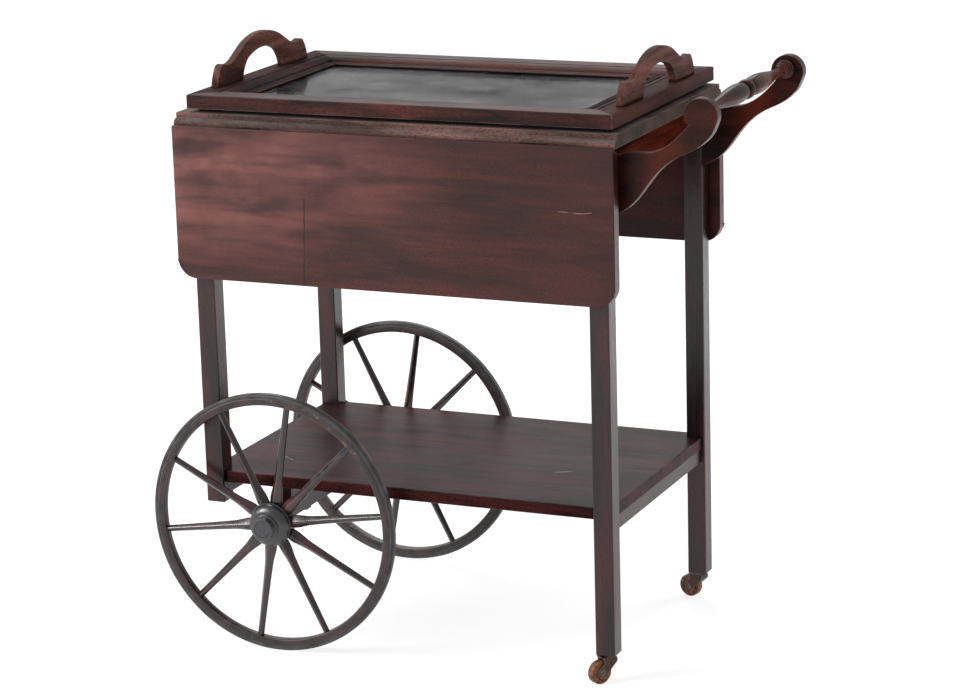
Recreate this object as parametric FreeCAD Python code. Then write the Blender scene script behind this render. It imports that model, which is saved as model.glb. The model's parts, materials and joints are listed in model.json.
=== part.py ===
"""Drop leaf tea trolley: two large spoked wheels, two casters, rule joint leaves and a lift-off tray.

Millimetres. X runs along the trolley with the push handle at +X, Y runs across it with the near side
at -Y, and Z is up. The origin is on the floor under the middle of the bounding box.
"""
import FreeCAD, Part
import math
import os

V = FreeCAD.Vector

# Underframe
LEG_SPAN_X = 586.0  # between the outer faces of the legs, along the trolley
LEG_SPAN_Y = 380.0  # between the outer faces of the legs, across it
LEG_SIDE = 26.5
LEG_ARRIS = 1.2
WHEEL_LEG_DROP = 27.5  # the short legs end this far below the shelf
APRON_DEPTH = 50.0
APRON_THICK = 16.0
END_APRON_SETBACK = 1.0
SIDE_APRON_SETBACK = 3.0
TENON_LENGTH = 12.0
TENON_THICK = 6.0
TENON_SHOULDER = 4.0  # shoulder above and below each tenon
GLUE_BLOCK = 16.0
GLUE_BLOCK_LENGTH = 46.0
GLUE_BLOCK_FROM_LEG = 130.0  # middle of a side glue block, from the legs' outer faces

# Top board and its rule joints
TOP_Z = 724.0
TOP_THICK = 17.5
TOP_OVERHANG = 16.0  # past the legs at each end
JOINT_FILLET = 7.0  # upright fillet above the ovolo
JOINT_RADIUS = 8.0  # ovolo, about the hinge pin
JOINT_GAP = 0.5  # between ovolo and cove
LEAF_THICK = 17.0
LEAF_WIDTH = 203.5  # from the fillet to the free edge
LEAF_CORNER = 26.0
LEAF_ARRIS = 1.5
LEAF_TO_LEG = 0.5  # between a hanging leaf and the legs

# Rule joint hinges
HINGE_FROM_END = 110.0  # hinge centre to board end
HINGE_WIDTH = 36.0
KNUCKLE_WIDTH = 12.0  # the leaf's knuckle, between two of the board's
KNUCKLE_RADIUS = 2.7
KNUCKLE_SIDE_GAP = 0.2
FLAP_THICK = 1.2
BOARD_FLAP_REACH = 30.0
LEAF_FLAP_REACH = 42.0
FLAP_TO_PIN = 3.2  # the flaps start this far from the pin's axis
HINGE_PIN_RADIUS = 1.2
RUNNING_FIT = 0.05  # radial clearance of a turning joint
RECESS_GAP = 0.3  # round moving metal let into wood

# Lopers
LOPER_WIDTH = 18.0
LOPER_DEPTH = 20.0
LOPER_LENGTH = 336.0
LOPER_GAP = 0.5
LOPER_GUIDE_WIDTH = 10.0
LOPER_CLEAT_WIDTH = 22.0
LOPER_CLEAT_THICK = 8.0
LOPER_CLEAT_SPACING = 220.0

# Shelf
SHELF_TOP_Z = 236.0
SHELF_THICK = 16.0
SHELF_SIDE_INSET = 5.5  # from the legs' outer faces
SHELF_HANDLE_INSET = 4.0
SHELF_WHEEL_INSET = 1.0
SHELF_ARRIS = 1.0
SHELF_RAIL_DEPTH = 20.0
SHELF_RAIL_THICK = 19.0
SHELF_RAIL_SETBACK = 2.0  # from the shelf's end

# Push handle
BRACKET_THICK = 14.0
BRACKET_FOOT_Z = 615.5
BRACKET_TOP_Z = 699.3
BRACKET_CORNER = 28.0
SCROLL_X = 120.3  # scroll centre from the leg's outer face
SCROLL_Z = 749.0
SCROLL_RADIUS = 22.2
BAR_TENON_RADIUS = 6.0
BAR_TENON_LENGTH = 10.0
BAR_SETBACK = 1.8  # the bar's axis behind the scroll's centre
BAR_RISE = 3.6  # and above it
BAR_BEAD_RADIUS = 13.0
BAR_BEAD_HALF = 8.5
BAR_BEAD_QUIRK = 3.6  # depth of the quirk each side of the bead
BAR_VASE_RADIUS = 12.8
BAR_VASE_AT = 40.0  # widest part of the vase, from the bar's middle
BAR_NECK_RADIUS = 6.0
BAR_NECK_AT = 128.0  # where the vase has thinned to the neck, from the bar's middle
BAR_COLLAR_RADIUS = 13.0
BAR_COLLAR_WIDTH = 7.0
BAR_RING_WIDTH = 5.0
BAR_RING_STEP = 1.6  # each ring of the collar is this much smaller than the next
BRACKET_SCREW_SPACING = 30.0

# Tray
TRAY_LENGTH = 596.0
TRAY_WIDTH = 379.0
TRAY_RAIL_HEIGHT = 18.2
TRAY_RAIL_WIDTH = 64.0
TRAY_REBATE_WIDTH = 8.0
TRAY_BASE_THICK = 5.2
TRAY_BASE_INSET = 12.0
TRAY_PANEL_THICK = 6.2
TRAY_GLASS_THICK = 3.0
TRAY_FIT = 0.3  # round glass and panel
TRAY_SHIFT = 4.0  # towards the push handle
TRAY_MARGIN = 7.0  # carrying handle to the tray's end
TRAY_HANDLE_THICK = 10.0
TRAY_HANDLE_HALF = 133.0
TRAY_HANDLE_HEIGHT = 56.0
GRIP_HALF = 60.0
GRIP_HEIGHT = 34.8

# Large wheels
TYRE_RADIUS = 178.0
TYRE_THICK = 6.0
TYRE_WIDTH = 12.4
TYRE_SIDE = 2.4  # upright side below the rounded crown
RIM_THICK = 9.6
RIM_WIDTH = 13.8
RIM_BEVEL = 3.0
WHEEL_TO_LEG = 10.6  # from the legs' outer faces to the inner side of each rim
AXLE_INSET = 108.5  # axle from the short legs' outer faces
SPOKE_COUNT = 10
SPOKE_ROOT_WIDTH = 16.2
SPOKE_ROOT_DEPTH = 15.6
SPOKE_SHOULDER_WIDTH = 18.4
SPOKE_SHOULDER_DEPTH = 15.4
SPOKE_SHOULDER_RADIUS = 34.0  # widest part of the squared root
SPOKE_WAIST_WIDTH = 12.9
SPOKE_WAIST_DEPTH = 12.3
SPOKE_WAIST_RADIUS = 60.0  # where the squared root has become round
SPOKE_TIP_WIDTH = 9.6
SPOKE_TENON_WIDTH = 8.0
SPOKE_TENON_DEPTH = 7.0
SPOKE_TENON_LENGTH = 9.0
SPOKE_TONGUE = 5.0
SPOKE_TONGUE_LENGTH = 5.0
SPOKE_TURN = 9.5  # degrees, rest position of the first spoke from straight up
HUB_RADIUS = 28.0
HUB_BAND_WIDTH = 16.0  # the mortised band round the spokes
HUB_FLANGE_RADIUS = 30.0
HUB_FLANGE_WIDTH = 3.0
HUB_DOME_DEPTH = 11.5
HUB_DOME_LEDGE = 1.2  # the dome starts this far inside the flange's edge
HUB_BEAD_RADIUS = 18.0
HUB_BEAD_WIDTH = 3.5
HUB_NOSE_RADIUS = 15.0
HUB_NOSE_REACH = 34.5  # nose end from the wheel's middle plane
HUB_BACK_REACH = 22.0
HUB_BACK_RADIUS = 17.0
HUB_NOSE_EASE = 1.2
HUB_CAP_RADIUS = 10.6
HUB_CAP_THICK = 3.0
HUB_RECESS_DEPTH = 12.0  # for the washer and linch pin, behind the cap
BUSH_WALL = 2.5

# Axle
AXLE_RADIUS = 5.5
AXLE_BED_WIDTH = 28.0
AXLE_BED_GAP = 5.5  # from each end of the bed to the hub's back
COLLAR_RADIUS = 10.0
COLLAR_GAP = 0.3  # end float of each hub
WASHER_RADIUS = 8.6
WASHER_THICK = 1.5
LINCH_PIN_RADIUS = 1.2
LINCH_PIN_LENGTH = 16.0
LINCH_PIN_GAP = 1.6  # washer to linch pin axis
AXLE_END = 4.0  # rod past the linch pin's axis
STRAP_FROM_MIDDLE = 130.0
STRAP_WIDTH = 14.0
STRAP_THICK = 2.0

# Casters
CASTER_HEIGHT = 37.5
CASTER_WHEEL_RADIUS = 15.6
CASTER_WHEEL_WIDTH = 10.4
CASTER_WHEEL_EASE = 1.2
CASTER_TRAIL = 15.0
CASTER_CHEEK = 2.2
CASTER_CHEEK_WIDTH = 13.4  # across the cheek's blade, which ends round the pin
CASTER_CHEEK_GAP = 0.6
CASTER_PIN_RADIUS = 1.5
CASTER_PIN_PROUD = 0.6  # riveted ends past the cheeks
CASTER_PLATE_RADIUS = 9.5
CASTER_PLATE_THICK = 1.5
CASTER_STEM_RADIUS = 4.0
CASTER_STEM_LENGTH = 30.0
CASTER_SOCKET_WALL = 1.5
CASTER_HEAD_GAP = 0.3  # horn under its plate
CASTER_NEAR_TRAIL = 236.0  # degrees about Z from +X, as it stands at rest
CASTER_FAR_TRAIL = 168.0

# Screws
SCREW_RADIUS = 2.0
SCREW_HEAD_RADIUS = 4.0
SCREW_HEAD_DEPTH = 2.2
SCREW_BITE = 10.0  # length in the piece that it holds

# Places that follow from the sizes above
WHEEL_REACH = TYRE_RADIUS - AXLE_INSET
HANDLE_REACH = SCROLL_X + SCROLL_RADIUS
X_HANDLE = (WHEEL_REACH + LEG_SPAN_X - HANDLE_REACH) / 2  # outer faces of the long legs
X_WHEEL = X_HANDLE - LEG_SPAN_X  # outer faces of the short legs
X_MIDDLE = (X_HANDLE + X_WHEEL) / 2
X_AXLE = X_WHEEL + AXLE_INSET
Y_LEG = LEG_SPAN_Y / 2
Y_LEG_INNER = Y_LEG - LEG_SIDE
UNDERSIDE_Z = TOP_Z - TOP_THICK
SHELF_UNDERSIDE_Z = SHELF_TOP_Z - SHELF_THICK
LEAF_PAST_PIN = LEAF_THICK - JOINT_FILLET - JOINT_RADIUS
Y_PIN = Y_LEG + LEAF_TO_LEG + LEAF_PAST_PIN
PIN_Z = TOP_Z - JOINT_FILLET - JOINT_RADIUS
X_TOP_LOW = X_WHEEL - TOP_OVERHANG
X_TOP_HIGH = X_HANDLE + TOP_OVERHANG
HINGE_XS = (X_TOP_LOW + HINGE_FROM_END, X_TOP_HIGH - HINGE_FROM_END)
LOPER_PITCH = LOPER_GUIDE_WIDTH + LOPER_WIDTH + 2 * LOPER_GAP
LOPER_XS = (-LOPER_PITCH / 2, LOPER_PITCH / 2)  # from the trolley's middle
Y_APRON = Y_LEG - SIDE_APRON_SETBACK
X_TRAY = X_MIDDLE + TRAY_SHIFT
TRAY_Z = TOP_Z + TRAY_BASE_THICK
TRAY_TOP_Z = TRAY_Z + TRAY_RAIL_HEIGHT
AXLE_Z = TYRE_RADIUS
Y_WHEEL = Y_LEG + WHEEL_TO_LEG + RIM_WIDTH / 2
Y_HUB_BACK = Y_WHEEL - HUB_BACK_REACH
Y_AXLE_BED = Y_HUB_BACK - AXLE_BED_GAP
CASTER_AXLE_Z = CASTER_WHEEL_RADIUS
RIM_OUTER = TYRE_RADIUS - TYRE_THICK
RIM_INNER = RIM_OUTER - RIM_THICK


def box(x0, x1, y0, y1, z0, z1):
    """A box between two corners, given as limits along each axis."""
    return Part.makeBox(x1 - x0, y1 - y0, z1 - z0, V(x0, y0, z0))


def rod(radius, start, end):
    """A cylinder of the given radius from one point to another."""
    return Part.makeCylinder(radius, (end - start).Length, start, end - start)


def line(a, b):
    return Part.makeLine(a, b)


def arc(a, middle, b):
    return Part.Arc(a, middle, b).toShape()


def curve(points, first, last):
    """A smooth curve through the points that leaves along first and arrives along last."""
    spline = Part.BSplineCurve()
    spline.interpolate(Points=points, InitialTangent=first, FinalTangent=last)
    return spline.toShape()


def chain(points):
    """Straight edges from each point to the next."""
    return [line(a, b) for a, b in zip(points, points[1:])]


def facets(centre, radii, start, end, steps):
    """Points on an elliptical turn about a centre, from one angle to another in degrees.

    centre and radii are pairs along the axis of a turned piece and outwards from it. Turned work is
    cut from short cones between such points.
    """
    turns = [math.radians(start + (end - start) * i / steps) for i in range(steps + 1)]
    return [(centre[0] + radii[0] * math.cos(t), centre[1] + radii[1] * math.sin(t)) for t in turns]


def face(edges):
    return Part.Face(Part.Wire(edges))


def turned(profile):
    """A closed profile of (place along Y, radius) points, revolved about the Y axis."""
    edges = chain([V(0, y, r) for y, r in profile + profile[:1]])
    return face(edges).revolve(V(0, 0, 0), V(0, 1, 0), 360)


def mirrored(shape):
    """The same piece on the other side of the trolley."""
    return shape.mirror(V(0, 0, 0), V(0, 1, 0))


def edges_along(shape, direction):
    """The straight edges that run along a direction."""
    found = []
    for edge in shape.Edges:
        run = edge.Vertexes[-1].Point - edge.Vertexes[0].Point
        if run.Length > 0 and abs(run.dot(direction)) > 0.999 * run.Length:
            found.append(edge)
    return found


def edges_at_height(shape, z):
    """The edges that lie in one level plane."""
    return [e for e in shape.Edges if abs(e.BoundBox.ZMin - z) < 1e-6 and abs(e.BoundBox.ZMax - z) < 1e-6]


def save(name, *solids):
    """One STEP file per piece, or per group of identical pieces."""
    shape = solids[0] if len(solids) == 1 else Part.makeCompound(list(solids))
    shape.exportStep(f"parts/{name}.step")


def screw(head, direction, length):
    """A countersunk screw, with the middle of its head's face at a point."""
    tip = head + direction * length
    cone = Part.makeCone(SCREW_HEAD_RADIUS, SCREW_RADIUS, SCREW_HEAD_DEPTH, head, direction)
    return cone.fuse(rod(SCREW_RADIUS, head + direction * SCREW_HEAD_DEPTH, tip))


# Underframe


def apron_tenon(x0, x1, y0, y1, z0, z1):
    """The tenon at an end of a rail, shouldered above and below."""
    return box(x0, x1, y0, y1, z0 + TENON_SHOULDER, z1 - TENON_SHOULDER)


def cross_rail(x_outer, inward, thick, z0, z1):
    """A rail across the trolley between two legs, with a tenon in each. inward is +1 or -1 along X."""
    x0, x1 = sorted((x_outer, x_outer + inward * thick))
    tenon_x = (x0 + x1 - TENON_THICK) / 2
    reach = Y_LEG_INNER + TENON_LENGTH
    body = box(x0, x1, -Y_LEG_INNER, Y_LEG_INNER, z0, z1)
    return body.fuse(apron_tenon(tenon_x, tenon_x + TENON_THICK, -reach, reach, z0, z1))


def side_apron():
    """The far side apron, notched for the loper that slides out through it."""
    x0 = X_WHEEL + LEG_SIDE
    x1 = X_HANDLE - LEG_SIDE
    y0 = Y_APRON - APRON_THICK
    z0 = UNDERSIDE_Z - APRON_DEPTH
    tenon_y = (y0 + Y_APRON - TENON_THICK) / 2
    apron = box(x0, x1, y0, Y_APRON, z0, UNDERSIDE_Z)
    tenon = apron_tenon(x0 - TENON_LENGTH, x1 + TENON_LENGTH, tenon_y, tenon_y + TENON_THICK, z0, UNDERSIDE_Z)
    return apron.fuse(tenon)


def loper_notch(x, side):
    half = LOPER_WIDTH / 2 + LOPER_GAP
    y0, y1 = sorted((side * (Y_APRON - APRON_THICK - 1), side * (Y_APRON + 1)))
    return box(X_MIDDLE + x - half, X_MIDDLE + x + half, y0, y1, UNDERSIDE_Z - LOPER_DEPTH - LOPER_GAP, TOP_Z)


def underframe():
    rail_z0 = SHELF_UNDERSIDE_Z - SHELF_RAIL_DEPTH
    apron_z0 = UNDERSIDE_Z - APRON_DEPTH
    end_apron_handle = cross_rail(X_HANDLE - END_APRON_SETBACK, -1, APRON_THICK, apron_z0, UNDERSIDE_Z)
    end_apron_wheel = cross_rail(X_WHEEL + END_APRON_SETBACK, 1, APRON_THICK, apron_z0, UNDERSIDE_Z)
    rail_x = X_HANDLE - SHELF_HANDLE_INSET - SHELF_RAIL_SETBACK
    shelf_rail_handle = cross_rail(rail_x, -1, SHELF_RAIL_THICK, rail_z0, SHELF_UNDERSIDE_Z)
    rail_x = X_WHEEL + SHELF_WHEEL_INSET + SHELF_RAIL_SETBACK
    shelf_rail_wheel = cross_rail(rail_x, 1, SHELF_RAIL_THICK, rail_z0, SHELF_UNDERSIDE_Z)
    apron_far = side_apron().cut(loper_notch(LOPER_XS[1], 1))
    apron_near = mirrored(side_apron()).cut(loper_notch(LOPER_XS[0], -1))
    rails = [end_apron_handle, end_apron_wheel, shelf_rail_handle, shelf_rail_wheel, apron_far, apron_near]

    socket = rod(CASTER_STEM_RADIUS + CASTER_SOCKET_WALL, V(0, 0, 0), V(0, 0, CASTER_STEM_LENGTH + 1))
    for end, x0, foot_z in (
        ("handle", X_HANDLE - LEG_SIDE, CASTER_HEIGHT),
        ("wheel", X_WHEEL, SHELF_UNDERSIDE_Z - WHEEL_LEG_DROP),
    ):
        for side, y0 in (("near", -Y_LEG), ("far", Y_LEG_INNER)):
            leg = box(x0, x0 + LEG_SIDE, y0, y0 + LEG_SIDE, foot_z, UNDERSIDE_Z)
            leg = leg.makeChamfer(LEG_ARRIS, edges_along(leg, V(0, 0, 1)) + edges_at_height(leg, foot_z))
            for rail in rails:
                leg = leg.cut(rail)
            if end == "handle":
                leg = leg.cut(socket.translated(V(x0 + LEG_SIDE / 2, y0 + LEG_SIDE / 2, foot_z)))
                for hole in bracket_screws():
                    leg = leg.cut(hole)
            save(f"leg_{end}_{side}", leg)
    save("end_apron_handle", end_apron_handle)
    save("end_apron_wheel", end_apron_wheel)
    save("side_apron_near", apron_near)
    save("side_apron_far", apron_far)
    save("shelf_rail_handle", shelf_rail_handle)
    save("shelf_rail_wheel", shelf_rail_wheel)


def glue_block_places():
    """The middle of each glue block, in plan, and whether it runs along X."""
    side_y = Y_APRON - APRON_THICK - GLUE_BLOCK / 2
    end_x = APRON_THICK + GLUE_BLOCK / 2 + END_APRON_SETBACK
    xs = (X_WHEEL + GLUE_BLOCK_FROM_LEG, X_HANDLE - GLUE_BLOCK_FROM_LEG)
    places = [(x, side * side_y, True) for x in xs for side in (-1, 1)]
    return places + [(X_HANDLE - end_x, 0, False), (X_WHEEL + end_x, 0, False)]


def top_screws():
    """Screws up through the glue blocks into the top board."""
    z = UNDERSIDE_Z - GLUE_BLOCK
    return [screw(V(x, y, z), V(0, 0, 1), GLUE_BLOCK + SCREW_BITE) for x, y, _ in glue_block_places()]


def glue_blocks():
    blocks = []
    for (x, y, along_x), hole in zip(glue_block_places(), top_screws()):
        half_x = (GLUE_BLOCK_LENGTH if along_x else GLUE_BLOCK) / 2
        half_y = (GLUE_BLOCK if along_x else GLUE_BLOCK_LENGTH) / 2
        block = box(x - half_x, x + half_x, y - half_y, y + half_y, UNDERSIDE_Z - GLUE_BLOCK, UNDERSIDE_Z)
        blocks.append(block.cut(hole))
    save("glue_blocks", *blocks)


def lopers():
    """Two sliding bars, one for each leaf, between guides and on cleats under the top board."""
    z0 = UNDERSIDE_Z - LOPER_DEPTH
    for name, x, side in (("loper_near", LOPER_XS[0], -1), ("loper_far", LOPER_XS[1], 1)):
        y0, y1 = sorted((side * Y_APRON, side * (Y_APRON - LOPER_LENGTH)))
        left = X_MIDDLE + x - LOPER_WIDTH / 2
        save(name, box(left, left + LOPER_WIDTH, y0, y1, z0, UNDERSIDE_Z))

    guide_z0 = z0 - LOPER_GAP
    guide_half_y = Y_APRON - APRON_THICK
    guides = []
    for step in (-1, 0, 1):
        left = X_MIDDLE + step * LOPER_PITCH - LOPER_GUIDE_WIDTH / 2
        right = left + LOPER_GUIDE_WIDTH
        guides.append(box(left, right, -guide_half_y, guide_half_y, guide_z0, UNDERSIDE_Z))
    half_x = LOPER_PITCH + LOPER_GUIDE_WIDTH / 2
    cleat_z0 = guide_z0 - LOPER_CLEAT_THICK
    for y in (-LOPER_CLEAT_SPACING / 2, LOPER_CLEAT_SPACING / 2):
        y0 = y - LOPER_CLEAT_WIDTH / 2
        y1 = y + LOPER_CLEAT_WIDTH / 2
        guides.append(box(X_MIDDLE - half_x, X_MIDDLE + half_x, y0, y1, cleat_z0, guide_z0))
    save("loper_guides", *guides)


def shelf():
    """A board notched round the four legs."""
    half_y = Y_LEG - SHELF_SIDE_INSET
    x0 = X_WHEEL + SHELF_WHEEL_INSET
    x1 = X_HANDLE - SHELF_HANDLE_INSET
    board = box(x0, x1, -half_y, half_y, SHELF_UNDERSIDE_Z, SHELF_TOP_Z)
    board = board.makeChamfer(SHELF_ARRIS, edges_at_height(board, SHELF_TOP_Z))
    for leg_x in (X_WHEEL, X_HANDLE - LEG_SIDE):
        for leg_y in (-Y_LEG, Y_LEG_INNER):
            notch = box(leg_x, leg_x + LEG_SIDE, leg_y, leg_y + LEG_SIDE, 0, TOP_Z)
            board = board.cut(notch)
    save("shelf_board", board)


# Top board, leaves and rule joint hinges


def knuckle(x0, x1, radius):
    return rod(radius, V(x0, Y_PIN, PIN_Z), V(x1, Y_PIN, PIN_Z))


def board_flap(x):
    """The far side's fixed flap: a plate in the board's underside and the two outer knuckles."""
    half = HINGE_WIDTH / 2
    inner = KNUCKLE_WIDTH / 2 + KNUCKLE_SIDE_GAP
    top = UNDERSIDE_Z + FLAP_THICK
    flap = box(x - half, x + half, Y_PIN - BOARD_FLAP_REACH, Y_PIN - FLAP_TO_PIN, UNDERSIDE_Z, top)
    for x0, x1 in ((x - half, x - inner), (x + inner, x + half)):
        flap = flap.fuse(box(x0, x1, Y_PIN - FLAP_TO_PIN, Y_PIN, UNDERSIDE_Z, top))
        flap = flap.fuse(knuckle(x0, x1, KNUCKLE_RADIUS))
    return flap.cut(knuckle(x - half, x + half, HINGE_PIN_RADIUS)).removeSplitter()


def leaf_flap(x):
    """The far leaf's flap, hanging: a plate in the leaf's inner face and the middle knuckle."""
    half = HINGE_WIDTH / 2
    middle = KNUCKLE_WIDTH / 2
    y0 = Y_PIN - LEAF_PAST_PIN
    y1 = y0 + FLAP_THICK
    flap = box(x - half, x + half, y0, y1, PIN_Z - LEAF_FLAP_REACH, PIN_Z - FLAP_TO_PIN)
    flap = flap.fuse(box(x - middle, x + middle, y0, y1, PIN_Z - FLAP_TO_PIN, PIN_Z))
    flap = flap.fuse(knuckle(x - middle, x + middle, KNUCKLE_RADIUS))
    return flap.cut(knuckle(x - half, x + half, HINGE_PIN_RADIUS + RUNNING_FIT)).removeSplitter()


def hinge_recess(x):
    """Room in the board for the knuckles and for the leaf's flap as it swings up under the ovolo."""
    half = HINGE_WIDTH / 2 + RECESS_GAP
    radius = KNUCKLE_RADIUS + RECESS_GAP
    flap_top = PIN_Z + FLAP_THICK - LEAF_PAST_PIN + RECESS_GAP
    outside = Y_PIN + JOINT_RADIUS + 1
    recess = knuckle(x - half, x + half, radius)
    recess = recess.fuse(box(x - half, x + half, Y_PIN - radius, Y_PIN + radius, UNDERSIDE_Z - 1, PIN_Z))
    return recess.fuse(box(x - half, x + half, Y_PIN, outside, UNDERSIDE_Z - 1, flap_top))


def top_board():
    """The fixed board, with an ovolo about each line of hinge pins."""
    ovolo_foot = Y_PIN + math.sqrt(JOINT_RADIUS**2 - (PIN_Z - UNDERSIDE_Z) ** 2)
    ovolo_top = PIN_Z + JOINT_RADIUS
    diagonal = JOINT_RADIUS * math.sqrt(0.5)

    def ovolo(side):
        return arc(
            V(X_TOP_LOW, side * Y_PIN, ovolo_top),
            V(X_TOP_LOW, side * (Y_PIN + diagonal), PIN_Z + diagonal),
            V(X_TOP_LOW, side * ovolo_foot, UNDERSIDE_Z),
        )

    outline = chain([V(X_TOP_LOW, y, z) for y, z in (
        (-Y_PIN, ovolo_top),
        (-Y_PIN, TOP_Z),
        (Y_PIN, TOP_Z),
        (Y_PIN, ovolo_top),
    )])
    underside = line(V(X_TOP_LOW, ovolo_foot, UNDERSIDE_Z), V(X_TOP_LOW, -ovolo_foot, UNDERSIDE_Z))
    board = face(outline + [ovolo(1), underside, ovolo(-1)]).extrude(V(X_TOP_HIGH - X_TOP_LOW, 0, 0))
    for x in HINGE_XS:
        for cut in (hinge_recess(x), board_flap(x)):
            board = board.cut(cut).cut(mirrored(cut))
    for hole in top_screws():
        board = board.cut(hole)
    save("top_board", board)


def leaf():
    """The far leaf, hanging: a cove about the hinge pins along its top and round lower corners."""
    cove = JOINT_RADIUS + JOINT_GAP
    inner = Y_PIN - LEAF_PAST_PIN
    outer = inner + LEAF_THICK
    lip_z = PIN_Z - JOINT_GAP
    foot_z = PIN_Z - LEAF_WIDTH
    cove_foot_z = PIN_Z - math.sqrt(cove**2 - LEAF_PAST_PIN**2)
    cove_lip_y = Y_PIN + math.sqrt(cove**2 - JOINT_GAP**2)
    diagonal = cove * math.sqrt(0.5)
    flats = chain([V(X_TOP_LOW, y, z) for y, z in (
        (inner, cove_foot_z),
        (inner, foot_z),
        (outer, foot_z),
        (outer, lip_z),
        (cove_lip_y, lip_z),
    )])
    hollow = arc(
        V(X_TOP_LOW, cove_lip_y, lip_z),
        V(X_TOP_LOW, Y_PIN + diagonal, PIN_Z - diagonal),
        V(X_TOP_LOW, inner, cove_foot_z),
    )
    board = face(flats + [hollow]).extrude(V(X_TOP_HIGH - X_TOP_LOW, 0, 0))
    corners = [e for e in edges_along(board, V(0, 1, 0)) if e.BoundBox.ZMax < foot_z + 1]
    board = board.makeFillet(LEAF_CORNER, corners)
    outer_face = [e for e in board.Edges if e.BoundBox.YMin > outer - 1e-6 and e.BoundBox.ZMin < lip_z - 1]
    board = board.makeFillet(LEAF_ARRIS, outer_face)
    for x in HINGE_XS:
        board = board.cut(leaf_flap(x))
    return board


def leaves_and_hinges():
    far_leaf = leaf()
    far_flaps = [leaf_flap(x) for x in HINGE_XS]
    fixed_flaps = [board_flap(x) for x in HINGE_XS]
    half = HINGE_WIDTH / 2
    pins = [knuckle(x - half, x + half, HINGE_PIN_RADIUS) for x in HINGE_XS]
    save("leaf_far", far_leaf)
    save("leaf_near", mirrored(far_leaf))
    save("leaf_far_hinge_flaps", *far_flaps)
    save("leaf_near_hinge_flaps", *[mirrored(flap) for flap in far_flaps])
    save("hinge_board_flaps", *fixed_flaps, *[mirrored(flap) for flap in fixed_flaps])
    save("hinge_pins", *pins, *[mirrored(pin) for pin in pins])


# Push handle


def bracket_screws():
    """Two screws through each long leg into the bracket on it."""
    y = Y_LEG_INNER + BRACKET_THICK / 2
    middle_z = (BRACKET_FOOT_Z + BRACKET_TOP_Z - BRACKET_CORNER) / 2
    screws = []
    for side in (-1, 1):
        for z in (middle_z - BRACKET_SCREW_SPACING / 2, middle_z + BRACKET_SCREW_SPACING / 2):
            head = V(X_HANDLE - LEG_SIDE, side * y, z)
            screws.append(screw(head, V(1, 0, 0), LEG_SIDE + SCREW_BITE))
    return screws


def on_scroll(degrees):
    """A point on the scroll's edge, from its centre, in the bracket's own X and Z."""
    turn = math.radians(degrees)
    return SCROLL_X + SCROLL_RADIUS * math.cos(turn), SCROLL_Z + SCROLL_RADIUS * math.sin(turn)


def bracket():
    """The far bracket: an S-curved arm from the leg up to a round scroll end."""
    y = Y_LEG_INNER

    def at(x, z):
        return V(X_HANDLE + x, y, z)

    def on_arm(along, up):
        """A point by its shares of the way out from the leg and up from the foot to the scroll."""
        return at(along * SCROLL_X, BRACKET_FOOT_Z + up * (SCROLL_Z - BRACKET_FOOT_Z))

    scroll_start = -22.0  # where the arm's lower edge runs into the scroll, degrees
    scroll_end = 203.0  # where the scroll's edge comes back to the arm
    crook = on_arm(0.873, 0.915)  # the point of the small notch between the scroll and the arm
    arm_end = on_arm(0.846, 0.889)
    arm_top_x = 0.324 * SCROLL_X  # end of the level top edge
    corner_z = BRACKET_TOP_Z - BRACKET_CORNER
    corner_mid = BRACKET_CORNER * (1 - math.sqrt(0.5))
    lower_points = [
        on_arm(0.205, 0.106),
        on_arm(0.372, 0.276),
        on_arm(0.540, 0.464),
        on_arm(0.756, 0.605),
        on_arm(0.977, 0.708),
        on_arm(1.089, 0.798),
    ]
    upper_points = [on_arm(0.707, 0.762), on_arm(0.543, 0.665)]

    start = at(*on_scroll(scroll_start))
    along_scroll = math.radians(scroll_start + 90)
    lower = curve(
        [at(0, BRACKET_FOOT_Z)] + lower_points + [start],
        V(11.0, 0, 5.6),
        V(math.cos(along_scroll), 0, math.sin(along_scroll)),
    )
    end = at(*on_scroll(scroll_end))
    scroll = arc(start, at(*on_scroll((scroll_start + scroll_end) / 2)), end)
    notch = chain([end, crook, arm_end])
    upper = curve(
        [arm_end] + upper_points + [at(arm_top_x, BRACKET_TOP_Z)],
        V(-1, 0, -1.15),
        V(-1, 0, 0),
    )
    level = line(at(arm_top_x, BRACKET_TOP_Z), at(BRACKET_CORNER, BRACKET_TOP_Z))
    corner = arc(
        at(BRACKET_CORNER, BRACKET_TOP_Z),
        at(corner_mid, BRACKET_TOP_Z - corner_mid),
        at(0, corner_z),
    )
    butt = line(at(0, corner_z), at(0, BRACKET_FOOT_Z))
    arm = face([lower, scroll] + notch + [upper, level, corner, butt]).extrude(V(0, BRACKET_THICK, 0))
    mortise = at(SCROLL_X - BAR_SETBACK, SCROLL_Z + BAR_RISE)
    arm = arm.cut(rod(BAR_TENON_RADIUS, mortise, mortise + V(0, BAR_TENON_LENGTH, 0)))
    for hole in bracket_screws():
        arm = arm.cut(hole)
    return arm


def swell(start, end, start_radius, end_radius, steps):
    """Points on a smooth change of radius that is level at both ends."""
    points = []
    for i in range(steps + 1):
        share = i / steps
        ease = (1 - math.cos(math.pi * share)) / 2
        points.append((start + (end - start) * share, start_radius + (end_radius - start_radius) * ease))
    return points


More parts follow.
